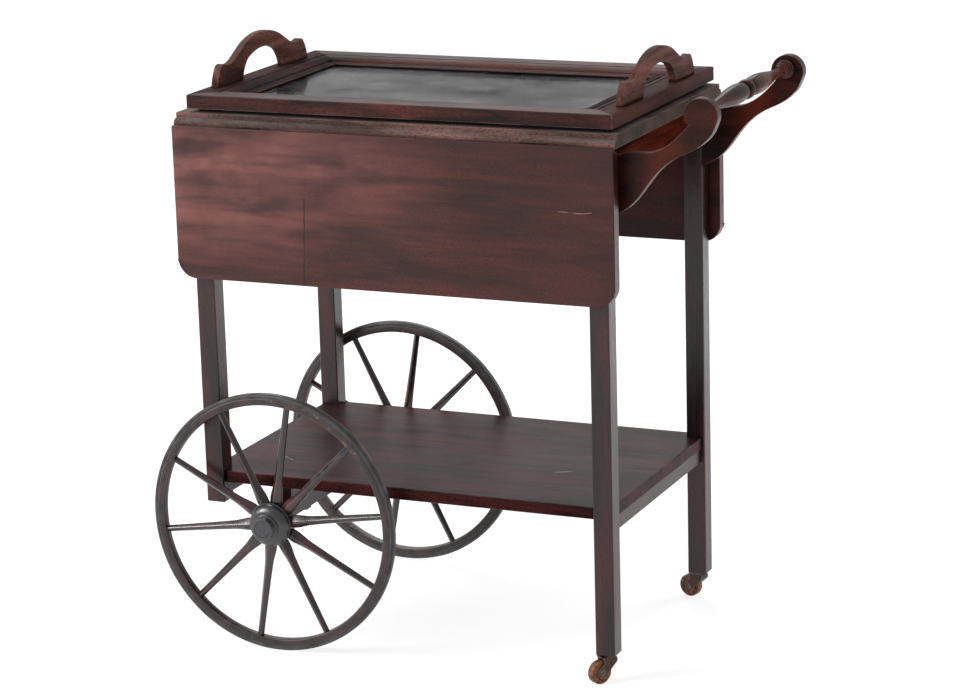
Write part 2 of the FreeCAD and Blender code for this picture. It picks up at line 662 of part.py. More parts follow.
def handle_bar():
    """A turned bar: a bead in the middle, a long vase and neck each way, and a ringed collar."""
    half = Y_LEG_INNER
    collar = half - BAR_COLLAR_WIDTH
    step = BAR_RING_WIDTH / 2
    rings = []
    for centre, radius in (
        (collar - 3 * step, BAR_COLLAR_RADIUS - 2 * BAR_RING_STEP),
        (collar - step, BAR_COLLAR_RADIUS - BAR_RING_STEP),
    ):
        rings += facets((centre, radius - step), (step, step), 160, 20, 2)
    quirk_radius = BAR_BEAD_RADIUS - BAR_BEAD_QUIRK
    bead = facets((0, quirk_radius), (BAR_BEAD_HALF, BAR_BEAD_QUIRK), 90, 0, 3)
    vase_start = BAR_BEAD_HALF + BAR_BEAD_QUIRK
    shoulder = (BAR_VASE_AT - vase_start, BAR_VASE_RADIUS - quirk_radius)
    profile = [(0, 0)] + bead
    profile += facets((BAR_VASE_AT, quirk_radius), shoulder, 180, 90, 3)
    profile += swell(BAR_VASE_AT, BAR_NECK_AT, BAR_VASE_RADIUS, BAR_NECK_RADIUS, 4)[1:]
    profile += [(collar - 3 * BAR_RING_WIDTH, BAR_NECK_RADIUS)]
    profile += [(collar - 2 * BAR_RING_WIDTH, BAR_NECK_RADIUS + BAR_RING_STEP)] + rings
    profile += [(collar, BAR_COLLAR_RADIUS), (half, BAR_COLLAR_RADIUS), (half, BAR_TENON_RADIUS)]
    profile += [(half + BAR_TENON_LENGTH, BAR_TENON_RADIUS), (half + BAR_TENON_LENGTH, 0)]
    right = turned(profile)
    bar = right.fuse(mirrored(right)).removeSplitter()
    return bar.translated(V(X_HANDLE + SCROLL_X - BAR_SETBACK, 0, SCROLL_Z + BAR_RISE))


def push_handle():
    far_bracket = bracket()
    save("bracket_far", far_bracket)
    save("bracket_near", mirrored(far_bracket))
    save("handle_bar", handle_bar())


# Tray


def rail_profile(at):
    """The moulded section of a tray rail. at(u, z) places a point u in from the outer edge."""
    top = TRAY_RAIL_HEIGHT
    glass_top = TRAY_PANEL_THICK + TRAY_GLASS_THICK
    rebate = TRAY_RAIL_WIDTH - TRAY_REBATE_WIDTH
    sight = TRAY_RAIL_WIDTH
    return [
        line(at(0, 0), at(0, top - 1.4)),
        arc(at(0, top - 1.4), at(0.4, top - 0.4), at(1.4, top)),
        line(at(1.4, top), at(30.0, top)),
        arc(at(30.0, top), at(31.3, top - 1.6), at(32.6, top - 0.4)),
        arc(at(32.6, top - 0.4), at(41.0, top - 1.7), at(47.0, top - 5.4)),
        line(at(47.0, top - 5.4), at(47.0, top - 6.6)),
        arc(at(47.0, top - 6.6), at(50.5, top - 8.0), at(54.0, top - 7.6)),
        arc(at(54.0, top - 7.6), at(55.8, top - 6.2), at(57.6, top - 7.6)),
        line(at(57.6, top - 7.6), at(60.0, top - 7.6)),
        arc(at(60.0, top - 7.6), at(62.0, top - 6.7), at(sight, top - 7.8)),
        line(at(sight, top - 7.8), at(sight, glass_top)),
        line(at(sight, glass_top), at(rebate, glass_top)),
        line(at(rebate, glass_top), at(rebate, 0)),
        line(at(rebate, 0), at(0, 0)),
    ]


def mitre(length, width):
    """The prism that keeps one rail between the two diagonal cuts at its ends, for a rail along X at -Y."""
    half_x = length / 2
    half_y = width / 2
    far = TRAY_RAIL_WIDTH + 1
    corners = [
        V(-half_x, -half_y, 0),
        V(half_x, -half_y, 0),
        V(half_x - far, -half_y + far, 0),
        V(-half_x + far, -half_y + far, 0),
        V(-half_x, -half_y, 0),
    ]
    return face(chain(corners)).extrude(V(0, 0, TRAY_RAIL_HEIGHT))


def tray_rail(length, width):
    """A mitred rail along X at -Y, round a tray of this length and width centred at the origin."""
    start = -length / 2

    def at(u, z):
        return V(start, -width / 2 + u, z)

    bar = face(rail_profile(at)).extrude(V(length, 0, 0))
    return bar.common(mitre(length, width))


def placed_on_tray(shape, turn):
    """A tray piece turned about the tray's middle and set at the height of the rails' underside."""
    moved = shape.rotated(V(0, 0, 0), V(0, 0, 1), turn)
    return moved.translated(V(X_TRAY, 0, TRAY_Z))


def tray_handle():
    """A shaped plate across the tray with a hand hole under its arch, at x from 0 to its thickness."""
    foot = TRAY_HANDLE_HALF
    height = TRAY_HANDLE_HEIGHT

    def at(y, z):
        return V(0, y, z)

    def half(side):
        return [
            arc(at(side * foot, 0), at(side * 128.5, 15.0), at(side * 120.5, 26.6)),
            arc(at(side * 120.5, 26.6), at(side * 115.0, 28.6), at(side * 108.0, 27.4)),
            arc(at(side * 108.0, 27.4), at(side * 94.0, 26.6), at(side * 80.0, 31.0)),
            line(at(side * 80.0, 31.0), at(side * 52.0, 45.5)),
            line(at(side * foot, 0), at(side * GRIP_HALF, 0)),
            arc(at(side * GRIP_HALF, 0), at(side * 55.0, 12.8), at(side * 43.0, 25.6)),
        ]

    top = arc(at(-52.0, 45.5), at(0, height), at(52.0, 45.5))
    arch = arc(at(-43.0, 25.6), at(0, GRIP_HEIGHT), at(43.0, 25.6))
    edges = Part.__sortEdges__(half(1) + half(-1) + [top, arch])
    return Part.Face(Part.Wire(edges)).extrude(V(TRAY_HANDLE_THICK, 0, 0))


def tray():
    for name, length, width, turn in (
        ("tray_rail_near", TRAY_LENGTH, TRAY_WIDTH, 0),
        ("tray_rail_handle", TRAY_WIDTH, TRAY_LENGTH, 90),
        ("tray_rail_far", TRAY_LENGTH, TRAY_WIDTH, 180),
        ("tray_rail_wheel", TRAY_WIDTH, TRAY_LENGTH, 270),
    ):
        save(name, placed_on_tray(tray_rail(length, width), turn))

    base_x = TRAY_LENGTH / 2 - TRAY_BASE_INSET
    base_y = TRAY_WIDTH / 2 - TRAY_BASE_INSET
    save("tray_base", box(X_TRAY - base_x, X_TRAY + base_x, -base_y, base_y, TOP_Z, TRAY_Z))

    inset = TRAY_RAIL_WIDTH - TRAY_REBATE_WIDTH + TRAY_FIT
    pane_x = TRAY_LENGTH / 2 - inset
    pane_y = TRAY_WIDTH / 2 - inset
    panel_top = TRAY_Z + TRAY_PANEL_THICK
    save("tray_panel", box(X_TRAY - pane_x, X_TRAY + pane_x, -pane_y, pane_y, TRAY_Z, panel_top))
    glass_top = panel_top + TRAY_GLASS_THICK
    save("tray_glass", box(X_TRAY - pane_x, X_TRAY + pane_x, -pane_y, pane_y, panel_top, glass_top))

    plate_x = TRAY_LENGTH / 2 - TRAY_MARGIN
    for end, name in ((1, "tray_handle_handle_end"), (-1, "tray_handle_wheel_end")):
        x0 = X_TRAY + (plate_x - TRAY_HANDLE_THICK if end > 0 else -plate_x)
        save(name, tray_handle().translated(V(x0, 0, TRAY_TOP_Z)))


# Large wheels. Each is built with its axle along Y at the origin and its outer side towards +Y.


def hub_blank():
    """The turned hub: a flared back, the mortised band, a flange, a dome, a bead and the nose."""
    band = HUB_BAND_WIDTH / 2
    flange = band + HUB_FLANGE_WIDTH
    dome_end = flange + HUB_DOME_DEPTH
    bead_end = dome_end + HUB_BEAD_WIDTH
    bead = HUB_BEAD_WIDTH / 2
    bush = AXLE_RADIUS + RUNNING_FIT + BUSH_WALL
    bush_end = HUB_NOSE_REACH - HUB_RECESS_DEPTH
    dome_radius = HUB_FLANGE_RADIUS - HUB_DOME_LEDGE
    flare = (HUB_BACK_REACH - band, HUB_RADIUS - HUB_BACK_RADIUS)
    profile = [(-HUB_BACK_REACH, bush)]
    profile += facets((-HUB_BACK_REACH, HUB_RADIUS), flare, -90, 0, 3)
    profile += [(band, HUB_RADIUS), (band, HUB_FLANGE_RADIUS), (flange, HUB_FLANGE_RADIUS)]
    profile += facets(
        (flange, HUB_BEAD_RADIUS - bead),
        (HUB_DOME_DEPTH, dome_radius - HUB_BEAD_RADIUS + bead),
        90,
        8,
        4,
    )
    profile += facets((dome_end + bead, HUB_BEAD_RADIUS - bead), (bead, bead), 150, 20, 2)
    profile += [(bead_end, HUB_NOSE_RADIUS), (HUB_NOSE_REACH - HUB_NOSE_EASE, HUB_NOSE_RADIUS)]
    profile += [(HUB_NOSE_REACH, HUB_NOSE_RADIUS - HUB_NOSE_EASE), (HUB_NOSE_REACH, HUB_CAP_RADIUS)]
    profile += [(bush_end, HUB_CAP_RADIUS), (bush_end, bush)]
    return turned(profile)


def spoke_section(radius, width, depth, squareness):
    """An eight-sided section. squareness 0.5 makes a diamond and about 0.7 an even octagon."""
    corners = []
    for x, y in ((1, 0), (1, 1), (0, 1), (-1, 1), (-1, 0), (-1, -1), (0, -1), (1, -1)):
        share = squareness if x and y else 1.0
        corners.append(V(x * share * width / 2, y * share * depth / 2, radius))
    return Part.makePolygon(corners + corners[:1])


def spoke():
    """The upright spoke: a diamond at the hub that rounds off towards the rim, tenoned at both ends."""
    inside = HUB_RADIUS - 2.0
    past = RIM_INNER + 1.0
    body = Part.makeLoft([
        spoke_section(inside, SPOKE_ROOT_WIDTH, SPOKE_ROOT_DEPTH, 0.52),
        spoke_section(SPOKE_SHOULDER_RADIUS, SPOKE_SHOULDER_WIDTH, SPOKE_SHOULDER_DEPTH, 0.52),
        spoke_section(SPOKE_WAIST_RADIUS, SPOKE_WAIST_WIDTH, SPOKE_WAIST_DEPTH, 0.6),
        spoke_section(past, SPOKE_TIP_WIDTH, SPOKE_TIP_WIDTH, 0.7),
    ], True, True)
    drum = rod(HUB_RADIUS, V(0, -HUB_BAND_WIDTH, 0), V(0, HUB_BAND_WIDTH, 0))
    inner_face = rod(RIM_INNER, V(0, -RIM_WIDTH, 0), V(0, RIM_WIDTH, 0))
    body = body.cut(drum).common(inner_face)
    return body.fuse(spoke_tenons())


def spoke_tenons():
    """The tenon that enters the hub and the tongue that enters the rim."""
    wide = SPOKE_TENON_WIDTH / 2
    deep = SPOKE_TENON_DEPTH / 2
    tongue = SPOKE_TONGUE / 2
    root = box(-wide, wide, -deep, deep, HUB_RADIUS - SPOKE_TENON_LENGTH, HUB_RADIUS + 1.0)
    tip = box(-tongue, tongue, -tongue, tongue, RIM_INNER - 1.0, RIM_INNER + SPOKE_TONGUE_LENGTH)
    return root.fuse(tip)


def wheel_pieces():
    """One wheel's pieces by name."""
    angles = [SPOKE_TURN + 360.0 * i / SPOKE_COUNT for i in range(SPOKE_COUNT)]
    tenons = [spoke_tenons().rotated(V(0, 0, 0), V(0, 1, 0), angle) for angle in angles]
    upright = spoke()
    spokes = [upright.rotated(V(0, 0, 0), V(0, 1, 0), angle) for angle in angles]

    bush_end = HUB_NOSE_REACH - HUB_RECESS_DEPTH
    bush_outer = AXLE_RADIUS + RUNNING_FIT + BUSH_WALL
    bush = rod(bush_outer, V(0, -HUB_BACK_REACH, 0), V(0, bush_end, 0))
    bush = bush.cut(rod(AXLE_RADIUS + RUNNING_FIT, V(0, -HUB_BACK_REACH, 0), V(0, bush_end, 0)))
    cap = rod(HUB_CAP_RADIUS, V(0, HUB_NOSE_REACH - HUB_CAP_THICK, 0), V(0, HUB_NOSE_REACH, 0))

    half = RIM_WIDTH / 2
    flat = half - RIM_BEVEL
    rim = turned([
        (-half, RIM_OUTER),
        (-half, RIM_INNER + RIM_BEVEL),
        (-flat, RIM_INNER),
        (flat, RIM_INNER),
        (half, RIM_INNER + RIM_BEVEL),
        (half, RIM_OUTER),
    ])
    hub = hub_blank()
    for tenon in tenons:
        hub = hub.cut(tenon)
        rim = rim.cut(tenon)

    tyre_half = TYRE_WIDTH / 2
    shoulder = RIM_OUTER + TYRE_SIDE
    crown = facets((0, shoulder), (tyre_half, TYRE_RADIUS - shoulder), 180, 0, 4)
    tyre = turned([(-tyre_half, RIM_OUTER)] + crown + [(tyre_half, RIM_OUTER)])
    return {"hub": [hub], "bush": [bush], "cap": [cap], "spokes": spokes, "rim": [rim], "tyre": [tyre]}


def wheels():
    for name, solids in wheel_pieces().items():
        far = [solid.translated(V(X_AXLE, Y_WHEEL, AXLE_Z)) for solid in solids]
        save(f"wheel_far_{name}", *far)
        save(f"wheel_near_{name}", *[mirrored(solid) for solid in far])


# Axle


def axle_strap(y):
    """A strap under the rod: two flanges on the bed and a half ring round the rod."""
    y0 = y - STRAP_WIDTH / 2
    y1 = y + STRAP_WIDTH / 2
    half = AXLE_BED_WIDTH / 2
    outer = AXLE_RADIUS + STRAP_THICK
    strap = box(X_AXLE - half, X_AXLE + half, y0, y1, AXLE_Z - STRAP_THICK, AXLE_Z)
    strap = strap.fuse(rod(outer, V(X_AXLE, y0, AXLE_Z), V(X_AXLE, y1, AXLE_Z)))
    strap = strap.cut(rod(AXLE_RADIUS, V(X_AXLE, y0, AXLE_Z), V(X_AXLE, y1, AXLE_Z)))
    strap = strap.cut(box(X_AXLE - half, X_AXLE + half, y0, y1, AXLE_Z, AXLE_Z + outer))
    return strap


def axle():
    half = AXLE_BED_WIDTH / 2
    washer_y = Y_WHEEL + HUB_NOSE_REACH - HUB_RECESS_DEPTH + COLLAR_GAP
    pin_y = washer_y + WASHER_THICK + LINCH_PIN_GAP
    end_y = pin_y + AXLE_END
    axle_rod = rod(AXLE_RADIUS, V(X_AXLE, -end_y, AXLE_Z), V(X_AXLE, end_y, AXLE_Z))
    bed = box(X_AXLE - half, X_AXLE + half, -Y_AXLE_BED, Y_AXLE_BED, AXLE_Z, SHELF_UNDERSIDE_Z)
    bed = bed.cut(axle_rod)
    save("axle_bed", bed)

    def ring(radius, y0, y1):
        outer = rod(radius, V(X_AXLE, y0, AXLE_Z), V(X_AXLE, y1, AXLE_Z))
        return outer.cut(axle_rod)

    collar = ring(COLLAR_RADIUS, Y_AXLE_BED, Y_HUB_BACK - COLLAR_GAP)
    washer = ring(WASHER_RADIUS, washer_y, washer_y + WASHER_THICK)
    pin_half = V(0, 0, LINCH_PIN_LENGTH / 2)
    centre = V(X_AXLE, pin_y, AXLE_Z)
    pin = rod(LINCH_PIN_RADIUS, centre - pin_half, centre + pin_half)
    save("axle_rod", axle_rod.cut(pin).cut(mirrored(pin)))
    save("axle_washers", collar, washer, mirrored(collar), mirrored(washer))
    save("linch_pins", pin, mirrored(pin))
    save("axle_straps", axle_strap(-STRAP_FROM_MIDDLE), axle_strap(STRAP_FROM_MIDDLE))


# Casters. Each is built with its swivel axis on Z at the origin and its wheel trailing towards +X.


def caster_horn():
    """A swivel stem, a bridge under the plate and two cheeks that sweep back to the wheel's pin."""
    inside = CASTER_WHEEL_WIDTH / 2 + CASTER_CHEEK_GAP
    outside = inside + CASTER_CHEEK
    head_z = CASTER_HEIGHT - CASTER_PLATE_THICK - CASTER_HEAD_GAP
    boss = CASTER_CHEEK_WIDTH / 2
    pin = V(CASTER_TRAIL, -outside, CASTER_AXLE_Z)
    root = V(2.6, -outside, 0.76 * head_z)  # middle of the blade where it leaves the bridge
    blade = pin - root
    across = V(-blade.z, 0, blade.x) * (boss / blade.Length)
    end = pin + blade * (boss / blade.Length)
    top_back = V(-6.0, -outside, head_z)
    top_front = V(14.2, -outside, head_z)
    back = pin - across - blade * 1.39
    front = pin + across - blade * 0.59

    cheeks = face([
        line(top_back, top_front),
        arc(top_front, V(front.x + 0.4, -outside, (front.z + head_z) / 2), front),
        line(front, pin + across),
        arc(pin + across, end, pin - across),
        line(pin - across, back),
        arc(back, V(back.x - 1.4, -outside, (back.z + head_z) / 2), top_back),
    ]).extrude(V(0, 2 * outside, 0))
    wheel_room = CASTER_WHEEL_RADIUS + 1.6
    gap = rod(wheel_room, V(pin.x, -inside, pin.z), V(pin.x, inside, pin.z))
    gap = gap.fuse(box(pin.x, pin.x + wheel_room, -inside, inside, 0, CASTER_AXLE_Z + boss + 1))
    stem = rod(CASTER_STEM_RADIUS, V(0, 0, head_z), V(0, 0, CASTER_HEIGHT + CASTER_STEM_LENGTH))
    horn = cheeks.cut(gap).fuse(stem)
    return horn.cut(rod(CASTER_PIN_RADIUS, pin, V(pin.x, outside, pin.z)))


def caster_wheel():
    half = CASTER_WHEEL_WIDTH / 2
    ease = CASTER_WHEEL_EASE
    bore = CASTER_PIN_RADIUS + RUNNING_FIT
    wheel = turned([
        (-half, bore),
        (-half, CASTER_WHEEL_RADIUS - ease),
        (ease - half, CASTER_WHEEL_RADIUS),
        (half - ease, CASTER_WHEEL_RADIUS),
        (half, CASTER_WHEEL_RADIUS - ease),
        (half, bore),
    ])
    return wheel.translated(V(CASTER_TRAIL, 0, CASTER_AXLE_Z))


def caster_pin():
    reach = CASTER_WHEEL_WIDTH / 2 + CASTER_CHEEK_GAP + CASTER_CHEEK + CASTER_PIN_PROUD
    ends = [V(CASTER_TRAIL, y, CASTER_AXLE_Z) for y in (-reach, reach)]
    return rod(CASTER_PIN_RADIUS, *ends)


def caster_socket():
    """A sleeve in the leg with a plate on the leg's foot."""
    top = CASTER_HEIGHT + CASTER_STEM_LENGTH + 1
    plate_z = CASTER_HEIGHT - CASTER_PLATE_THICK
    sleeve = rod(CASTER_STEM_RADIUS + CASTER_SOCKET_WALL, V(0, 0, CASTER_HEIGHT), V(0, 0, top))
    plate = rod(CASTER_PLATE_RADIUS, V(0, 0, plate_z), V(0, 0, CASTER_HEIGHT))
    bore = rod(CASTER_STEM_RADIUS + RUNNING_FIT, V(0, 0, 0), V(0, 0, top))
    return sleeve.fuse(plate).cut(bore)


def casters():
    x = X_HANDLE - LEG_SIDE / 2
    y = Y_LEG - LEG_SIDE / 2
    save("caster_sockets", *[caster_socket().translated(V(x, side * y, 0)) for side in (-1, 1)])
    for name, side, trail in (("near", -1, CASTER_NEAR_TRAIL), ("far", 1, CASTER_FAR_TRAIL)):
        for piece, shape in (("horn", caster_horn()), ("pin", caster_pin()), ("wheel", caster_wheel())):
            turned = shape.rotated(V(0, 0, 0), V(0, 0, 1), trail)
            save(f"caster_{name}_{piece}", turned.translated(V(x, side * y, 0)))


def main():
    os.makedirs("parts", exist_ok=True)
    underframe()
    glue_blocks()
    lopers()
    shelf()
    top_board()
    leaves_and_hinges()
    push_handle()
    tray()
    wheels()
    axle()
    save("frame_screws", *top_screws(), *bracket_screws())
    casters()


main()
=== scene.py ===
# %% [markdown]
# # A drop leaf tea trolley
# The trolley was drawn in CAD first, piece by piece and at its real size. This lesson dresses that
# model in Blender: it finds the camera, lays out plain light, mixes the finishes, and then models the
# pieces whose roundness, joints and wear the plain solids lack. Lengths are in metres, +Z is up, the
# push handle is at +X and the near side at -Y.

# %% Load the model
import bpy
import json
import math
from mathutils import Matrix, Vector

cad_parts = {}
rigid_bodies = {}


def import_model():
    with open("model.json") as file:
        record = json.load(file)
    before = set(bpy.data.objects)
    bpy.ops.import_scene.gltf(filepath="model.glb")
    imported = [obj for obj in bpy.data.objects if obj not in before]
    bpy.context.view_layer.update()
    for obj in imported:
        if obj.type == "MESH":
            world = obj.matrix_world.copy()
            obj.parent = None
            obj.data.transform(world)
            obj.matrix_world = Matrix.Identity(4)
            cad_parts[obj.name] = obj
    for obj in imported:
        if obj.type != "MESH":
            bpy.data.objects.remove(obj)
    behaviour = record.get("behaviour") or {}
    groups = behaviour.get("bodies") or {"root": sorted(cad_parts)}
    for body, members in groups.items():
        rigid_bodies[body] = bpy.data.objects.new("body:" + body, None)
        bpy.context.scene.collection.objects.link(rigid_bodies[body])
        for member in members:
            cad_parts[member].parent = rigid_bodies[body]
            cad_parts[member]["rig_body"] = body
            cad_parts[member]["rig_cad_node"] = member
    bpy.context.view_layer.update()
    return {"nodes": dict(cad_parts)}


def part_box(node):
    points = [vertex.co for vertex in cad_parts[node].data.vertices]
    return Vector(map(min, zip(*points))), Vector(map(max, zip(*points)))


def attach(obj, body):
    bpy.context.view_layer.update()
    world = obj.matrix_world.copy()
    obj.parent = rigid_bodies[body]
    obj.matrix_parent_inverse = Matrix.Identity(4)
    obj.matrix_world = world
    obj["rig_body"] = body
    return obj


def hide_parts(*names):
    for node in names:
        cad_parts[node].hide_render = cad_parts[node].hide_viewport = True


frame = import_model()
mm = 0.001

# %% [markdown]
# ## Working by operators
# Blender's operators act on whatever is selected, so each step starts by selecting one piece alone.
# Vertices and edges inside it are then picked by their place, which is surer than counting them.


# %% Selecting and finishing a piece
def only(piece):
    """Selects one piece and makes it the active one."""
    if bpy.context.mode != "OBJECT":
        bpy.ops.object.mode_set(mode="OBJECT")
    bpy.ops.object.select_all(action="DESELECT")
    piece.select_set(True)
    bpy.context.view_layer.objects.active = piece


def edit(piece, kind="VERT"):
    """Opens a piece for editing with everything selected."""
    only(piece)
    bpy.ops.object.mode_set(mode="EDIT")
    bpy.ops.mesh.select_mode(type=kind)
    bpy.ops.mesh.select_all(action="SELECT")


def pick_vertices(piece, test):
    """Selects the vertices whose place passes a test, with the piece open for editing."""
    bpy.ops.mesh.select_all(action="DESELECT")
    bpy.ops.object.mode_set(mode="OBJECT")
    for vertex in piece.data.vertices:
        vertex.select = test(vertex.co)
    bpy.ops.object.mode_set(mode="EDIT")


def apply_modifiers(piece):
    """Turns a piece's modifiers into real geometry, in their order."""
    only(piece)
    for modifier in list(piece.modifiers):
        bpy.ops.object.modifier_apply(modifier=modifier.name)


def ease(piece, width, segments=2, sharp=30):
    """Rounds the sharp edges a little, as sandpaper does, and shades the flat faces flat."""
    bevel = piece.modifiers.new("eased edges", "BEVEL")
    bevel.width = width
    bevel.segments = segments
    bevel.limit_method = "ANGLE"
    bevel.angle_limit = math.radians(sharp)
    bevel.use_clamp_overlap = False
    bevel.miter_outer = "MITER_ARC"
    apply_modifiers(piece)
    bpy.ops.object.shade_smooth_by_angle(angle=math.radians(40))
    weighted = piece.modifiers.new("flat faces stay flat", "WEIGHTED_NORMAL")
    weighted.keep_sharp = True
    apply_modifiers(piece)


def finish_piece(piece, body, material, slot, *nodes):
    """Gives a piece its finish and lets it ride on its body in place of the CAD nodes it stands for."""
    piece.data.materials.clear()
    piece.data.materials.append(material)
    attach(piece, body)
    if nodes:
        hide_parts(*nodes)
    print(piece.name, len(piece.data.polygons), "faces")


def eased_copy(node, width=0.6 * mm):
    """A copy of a CAD node, merged into whole faces and with its sharp edges eased."""
    only(frame["nodes"][node])
    bpy.ops.object.duplicate()
    piece = bpy.context.object
    piece.name = node + "_eased"
    piece.parent = None
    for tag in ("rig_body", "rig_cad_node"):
        del piece[tag]
    bpy.ops.mesh.customdata_custom_splitnormals_clear()
    edit(piece)
    bpy.ops.mesh.remove_doubles(threshold=2e-6)
    bpy.ops.mesh.dissolve_limited(angle_limit=math.radians(0.5))
    bpy.ops.object.mode_set(mode="OBJECT")
    ease(piece, width)
    return piece


# %% [markdown]
# ## The camera
# A long lens about four metres away, a little above the top and turned towards the push handle end.
# The camera is tilted by a degree and a half, so the upright legs lean a touch in the picture.

# %% Place the camera
AZIMUTH, ELEVATION, ROLL = 23.604, 14.385, -1.589
CAMERA_AT = Vector((1.64784, -3.7485, 1.43121))
FOCAL_PIXELS = 3134.74
PICTURE_WIDTH = 980

turn, rise, lean = (math.radians(angle) for angle in (AZIMUTH, ELEVATION, ROLL))
forward = Vector((-math.sin(turn) * math.cos(rise), math.cos(turn) * math.cos(rise), -math.sin(rise)))
level = Vector((math.cos(turn), math.sin(turn), 0))
upright = level.cross(forward)
across = math.cos(lean) * level + math.sin(lean) * upright
upward = -math.sin(lean) * level + math.cos(lean) * upright
bpy.ops.object.camera_add(location=CAMERA_AT)
camera = bpy.context.object
camera.name = "camera"
camera.rotation_euler = Matrix((across, upward, -forward)).transposed().to_euler()
camera.data.sensor_width = 36.0
camera.data.sensor_fit = "HORIZONTAL"
camera.data.lens = FOCAL_PIXELS * camera.data.sensor_width / PICTURE_WIDTH
camera.data.clip_end = 50
bpy.context.scene.camera = camera
print("lens", round(camera.data.lens, 1), "mm")

# %% [markdown]
# ## Nodes
# A material is a small tree of nodes. One helper adds a node, sets its options and fills its sockets,
# so that each finish below reads as a list of what it is made of.


# %% A helper for node trees
def add(tree, kind, inputs=None, **options):
    """A new node. An input given as a socket is linked, and any other value is set."""
    node = tree.nodes.new(kind)
    for name, value in options.items():
        setattr(node, name, value)
    for name, value in (inputs or {}).items():
        socket = node.inputs[name]
        if isinstance(value, bpy.types.NodeSocket):
            tree.links.new(value, socket)
        else:
            socket.default_value = value
    return node


def new_group(name, inputs, outputs):
    """An empty shader group with its sockets, its input node and its output node."""
    group = bpy.data.node_groups.new(name, "ShaderNodeTree")
    for label, kind, value in inputs:
        socket = group.interface.new_socket(label, in_out="INPUT", socket_type=kind)
        if value is not None:
            socket.default_value = value
    for label, kind in outputs:
        group.interface.new_socket(label, in_out="OUTPUT", socket_type=kind)
    return group, group.nodes.new("NodeGroupInput"), group.nodes.new("NodeGroupOutput")


def share(tree, value, low, high, out_low=0.0, out_high=1.0):
    """Where a value lies between two limits, as a share from one output to the other."""
    node = add(tree, "ShaderNodeMapRange", {"Value": value, "From Min": low, "From Max": high})
    node.inputs["To Min"].default_value = out_low
    node.inputs["To Max"].default_value = out_high
    return node.outputs["Result"]


def sums(tree, operation, a, b):
    """One sum of two values, such as ADD, MULTIPLY or MAXIMUM."""
    node = add(tree, "ShaderNodeMath", {0: a, 1: b}, operation=operation)
    return node.outputs["Value"]


def blend(tree, amount, under, over):
    """One colour laid over another by an amount."""
    node = add(tree, "ShaderNodeMix", data_type="RGBA")
    for index, value in ((0, amount), (6, under), (7, over)):
        if isinstance(value, bpy.types.NodeSocket):
            tree.links.new(value, node.inputs[index])
        else:
            node.inputs[index].default_value = value
    return node.outputs[2]


# %% [markdown]
# ## Grain
# Mahogany has three layers to its look: broad bands where the board was cut through several years of
# growth, fine streaks along them, and short open pores. Each is a noise stretched along the board.

# %% The mahogany grain group
FLOAT, VECTOR = "NodeSocketFloat", "NodeSocketVector"
grain, ins, outs = new_group(
    "mahogany grain", [("Vector", VECTOR, None)], [("Bands", FLOAT), ("Streaks", FLOAT), ("Pores", FLOAT)]
)


def stretched(along):
    """The place on the board, drawn out along it by a scale below one."""
    node = add(grain, "ShaderNodeMapping", {"Vector": ins.outputs["Vector"], "Scale": (along, 1, 1)})
    return node.outputs["Vector"]


broad = add(
    grain, "ShaderNodeTexNoise", {"Vector": stretched(0.15), "Scale": 38, "Detail": 6, "Distortion": 0.35}
)
fine = add(
    grain, "ShaderNodeTexNoise", {"Vector": stretched(0.08), "Scale": 170, "Detail": 5, "Roughness": 0.7}
)
dashes = add(grain, "ShaderNodeTexNoise", {"Vector": stretched(0.3), "Scale": 800, "Detail": 2})
grain.links.new(share(grain, broad.outputs["Fac"], 0.36, 0.66), outs.inputs["Bands"])
grain.links.new(share(grain, fine.outputs["Fac"], 0.32, 0.7), outs.inputs["Streaks"])
grain.links.new(share(grain, dashes.outputs["Fac"], 0.48, 0.66), outs.inputs["Pores"])

# %% [markdown]
# ## Worn edges
# Polish rubs off where hands and cloths catch an edge. A bevel node gives the normal that a rounded
# edge would have. Where that differs from the real normal there is an edge, and a noise breaks it up.
# Old wax and grime stay in the grooves, which ambient occlusion finds. The same darkening also paints in
# the shade that falls in grooves and under overhangs.

# %% The worn edge group
wear, ins, outs = new_group(
    "worn edges",
    [("Vector", VECTOR, None), ("Width", FLOAT, 0.0016), ("Amount", FLOAT, 0.6)],
    [("Worn", FLOAT), ("Grime and shade", FLOAT)],
)
rounded = add(wear, "ShaderNodeBevel", {"Radius": ins.outputs["Width"]}, samples=4)
surface = add(wear, "ShaderNodeNewGeometry")
facing = add(
    wear,
    "ShaderNodeVectorMath",
    {0: rounded.outputs["Normal"], 1: surface.outputs["Normal"]},
    operation="DOT_PRODUCT",
)
edge = share(wear, facing.outputs["Value"], 0.99, 0.82)
patchy = add(wear, "ShaderNodeTexNoise", {"Vector": ins.outputs["Vector"], "Scale": 38, "Detail": 5})
rubbed = share(wear, patchy.outputs["Fac"], 0.34, 0.6)
worn = sums(wear, "MULTIPLY", sums(wear, "MULTIPLY", edge, rubbed), ins.outputs["Amount"])
wear.links.new(worn, outs.inputs["Worn"])
# Ambient occlusion darkens grooves and what lies under overhangs: partly grime, partly painted shade.
occlusion_grime_and_shade = add(wear, "ShaderNodeAmbientOcclusion", {"Distance": 0.006}, samples=6)
wear.links.new(share(wear, occlusion_grime_and_shade.outputs["AO"], 0.9, 0.52), outs.inputs["Grime and shade"])

# %% [markdown]
# ## Dust
# Dust settles on what faces up and is wiped off in patches. It also dulls the polish there, so the
# group gives a second mask, for everything that lies, to make those faces rougher.

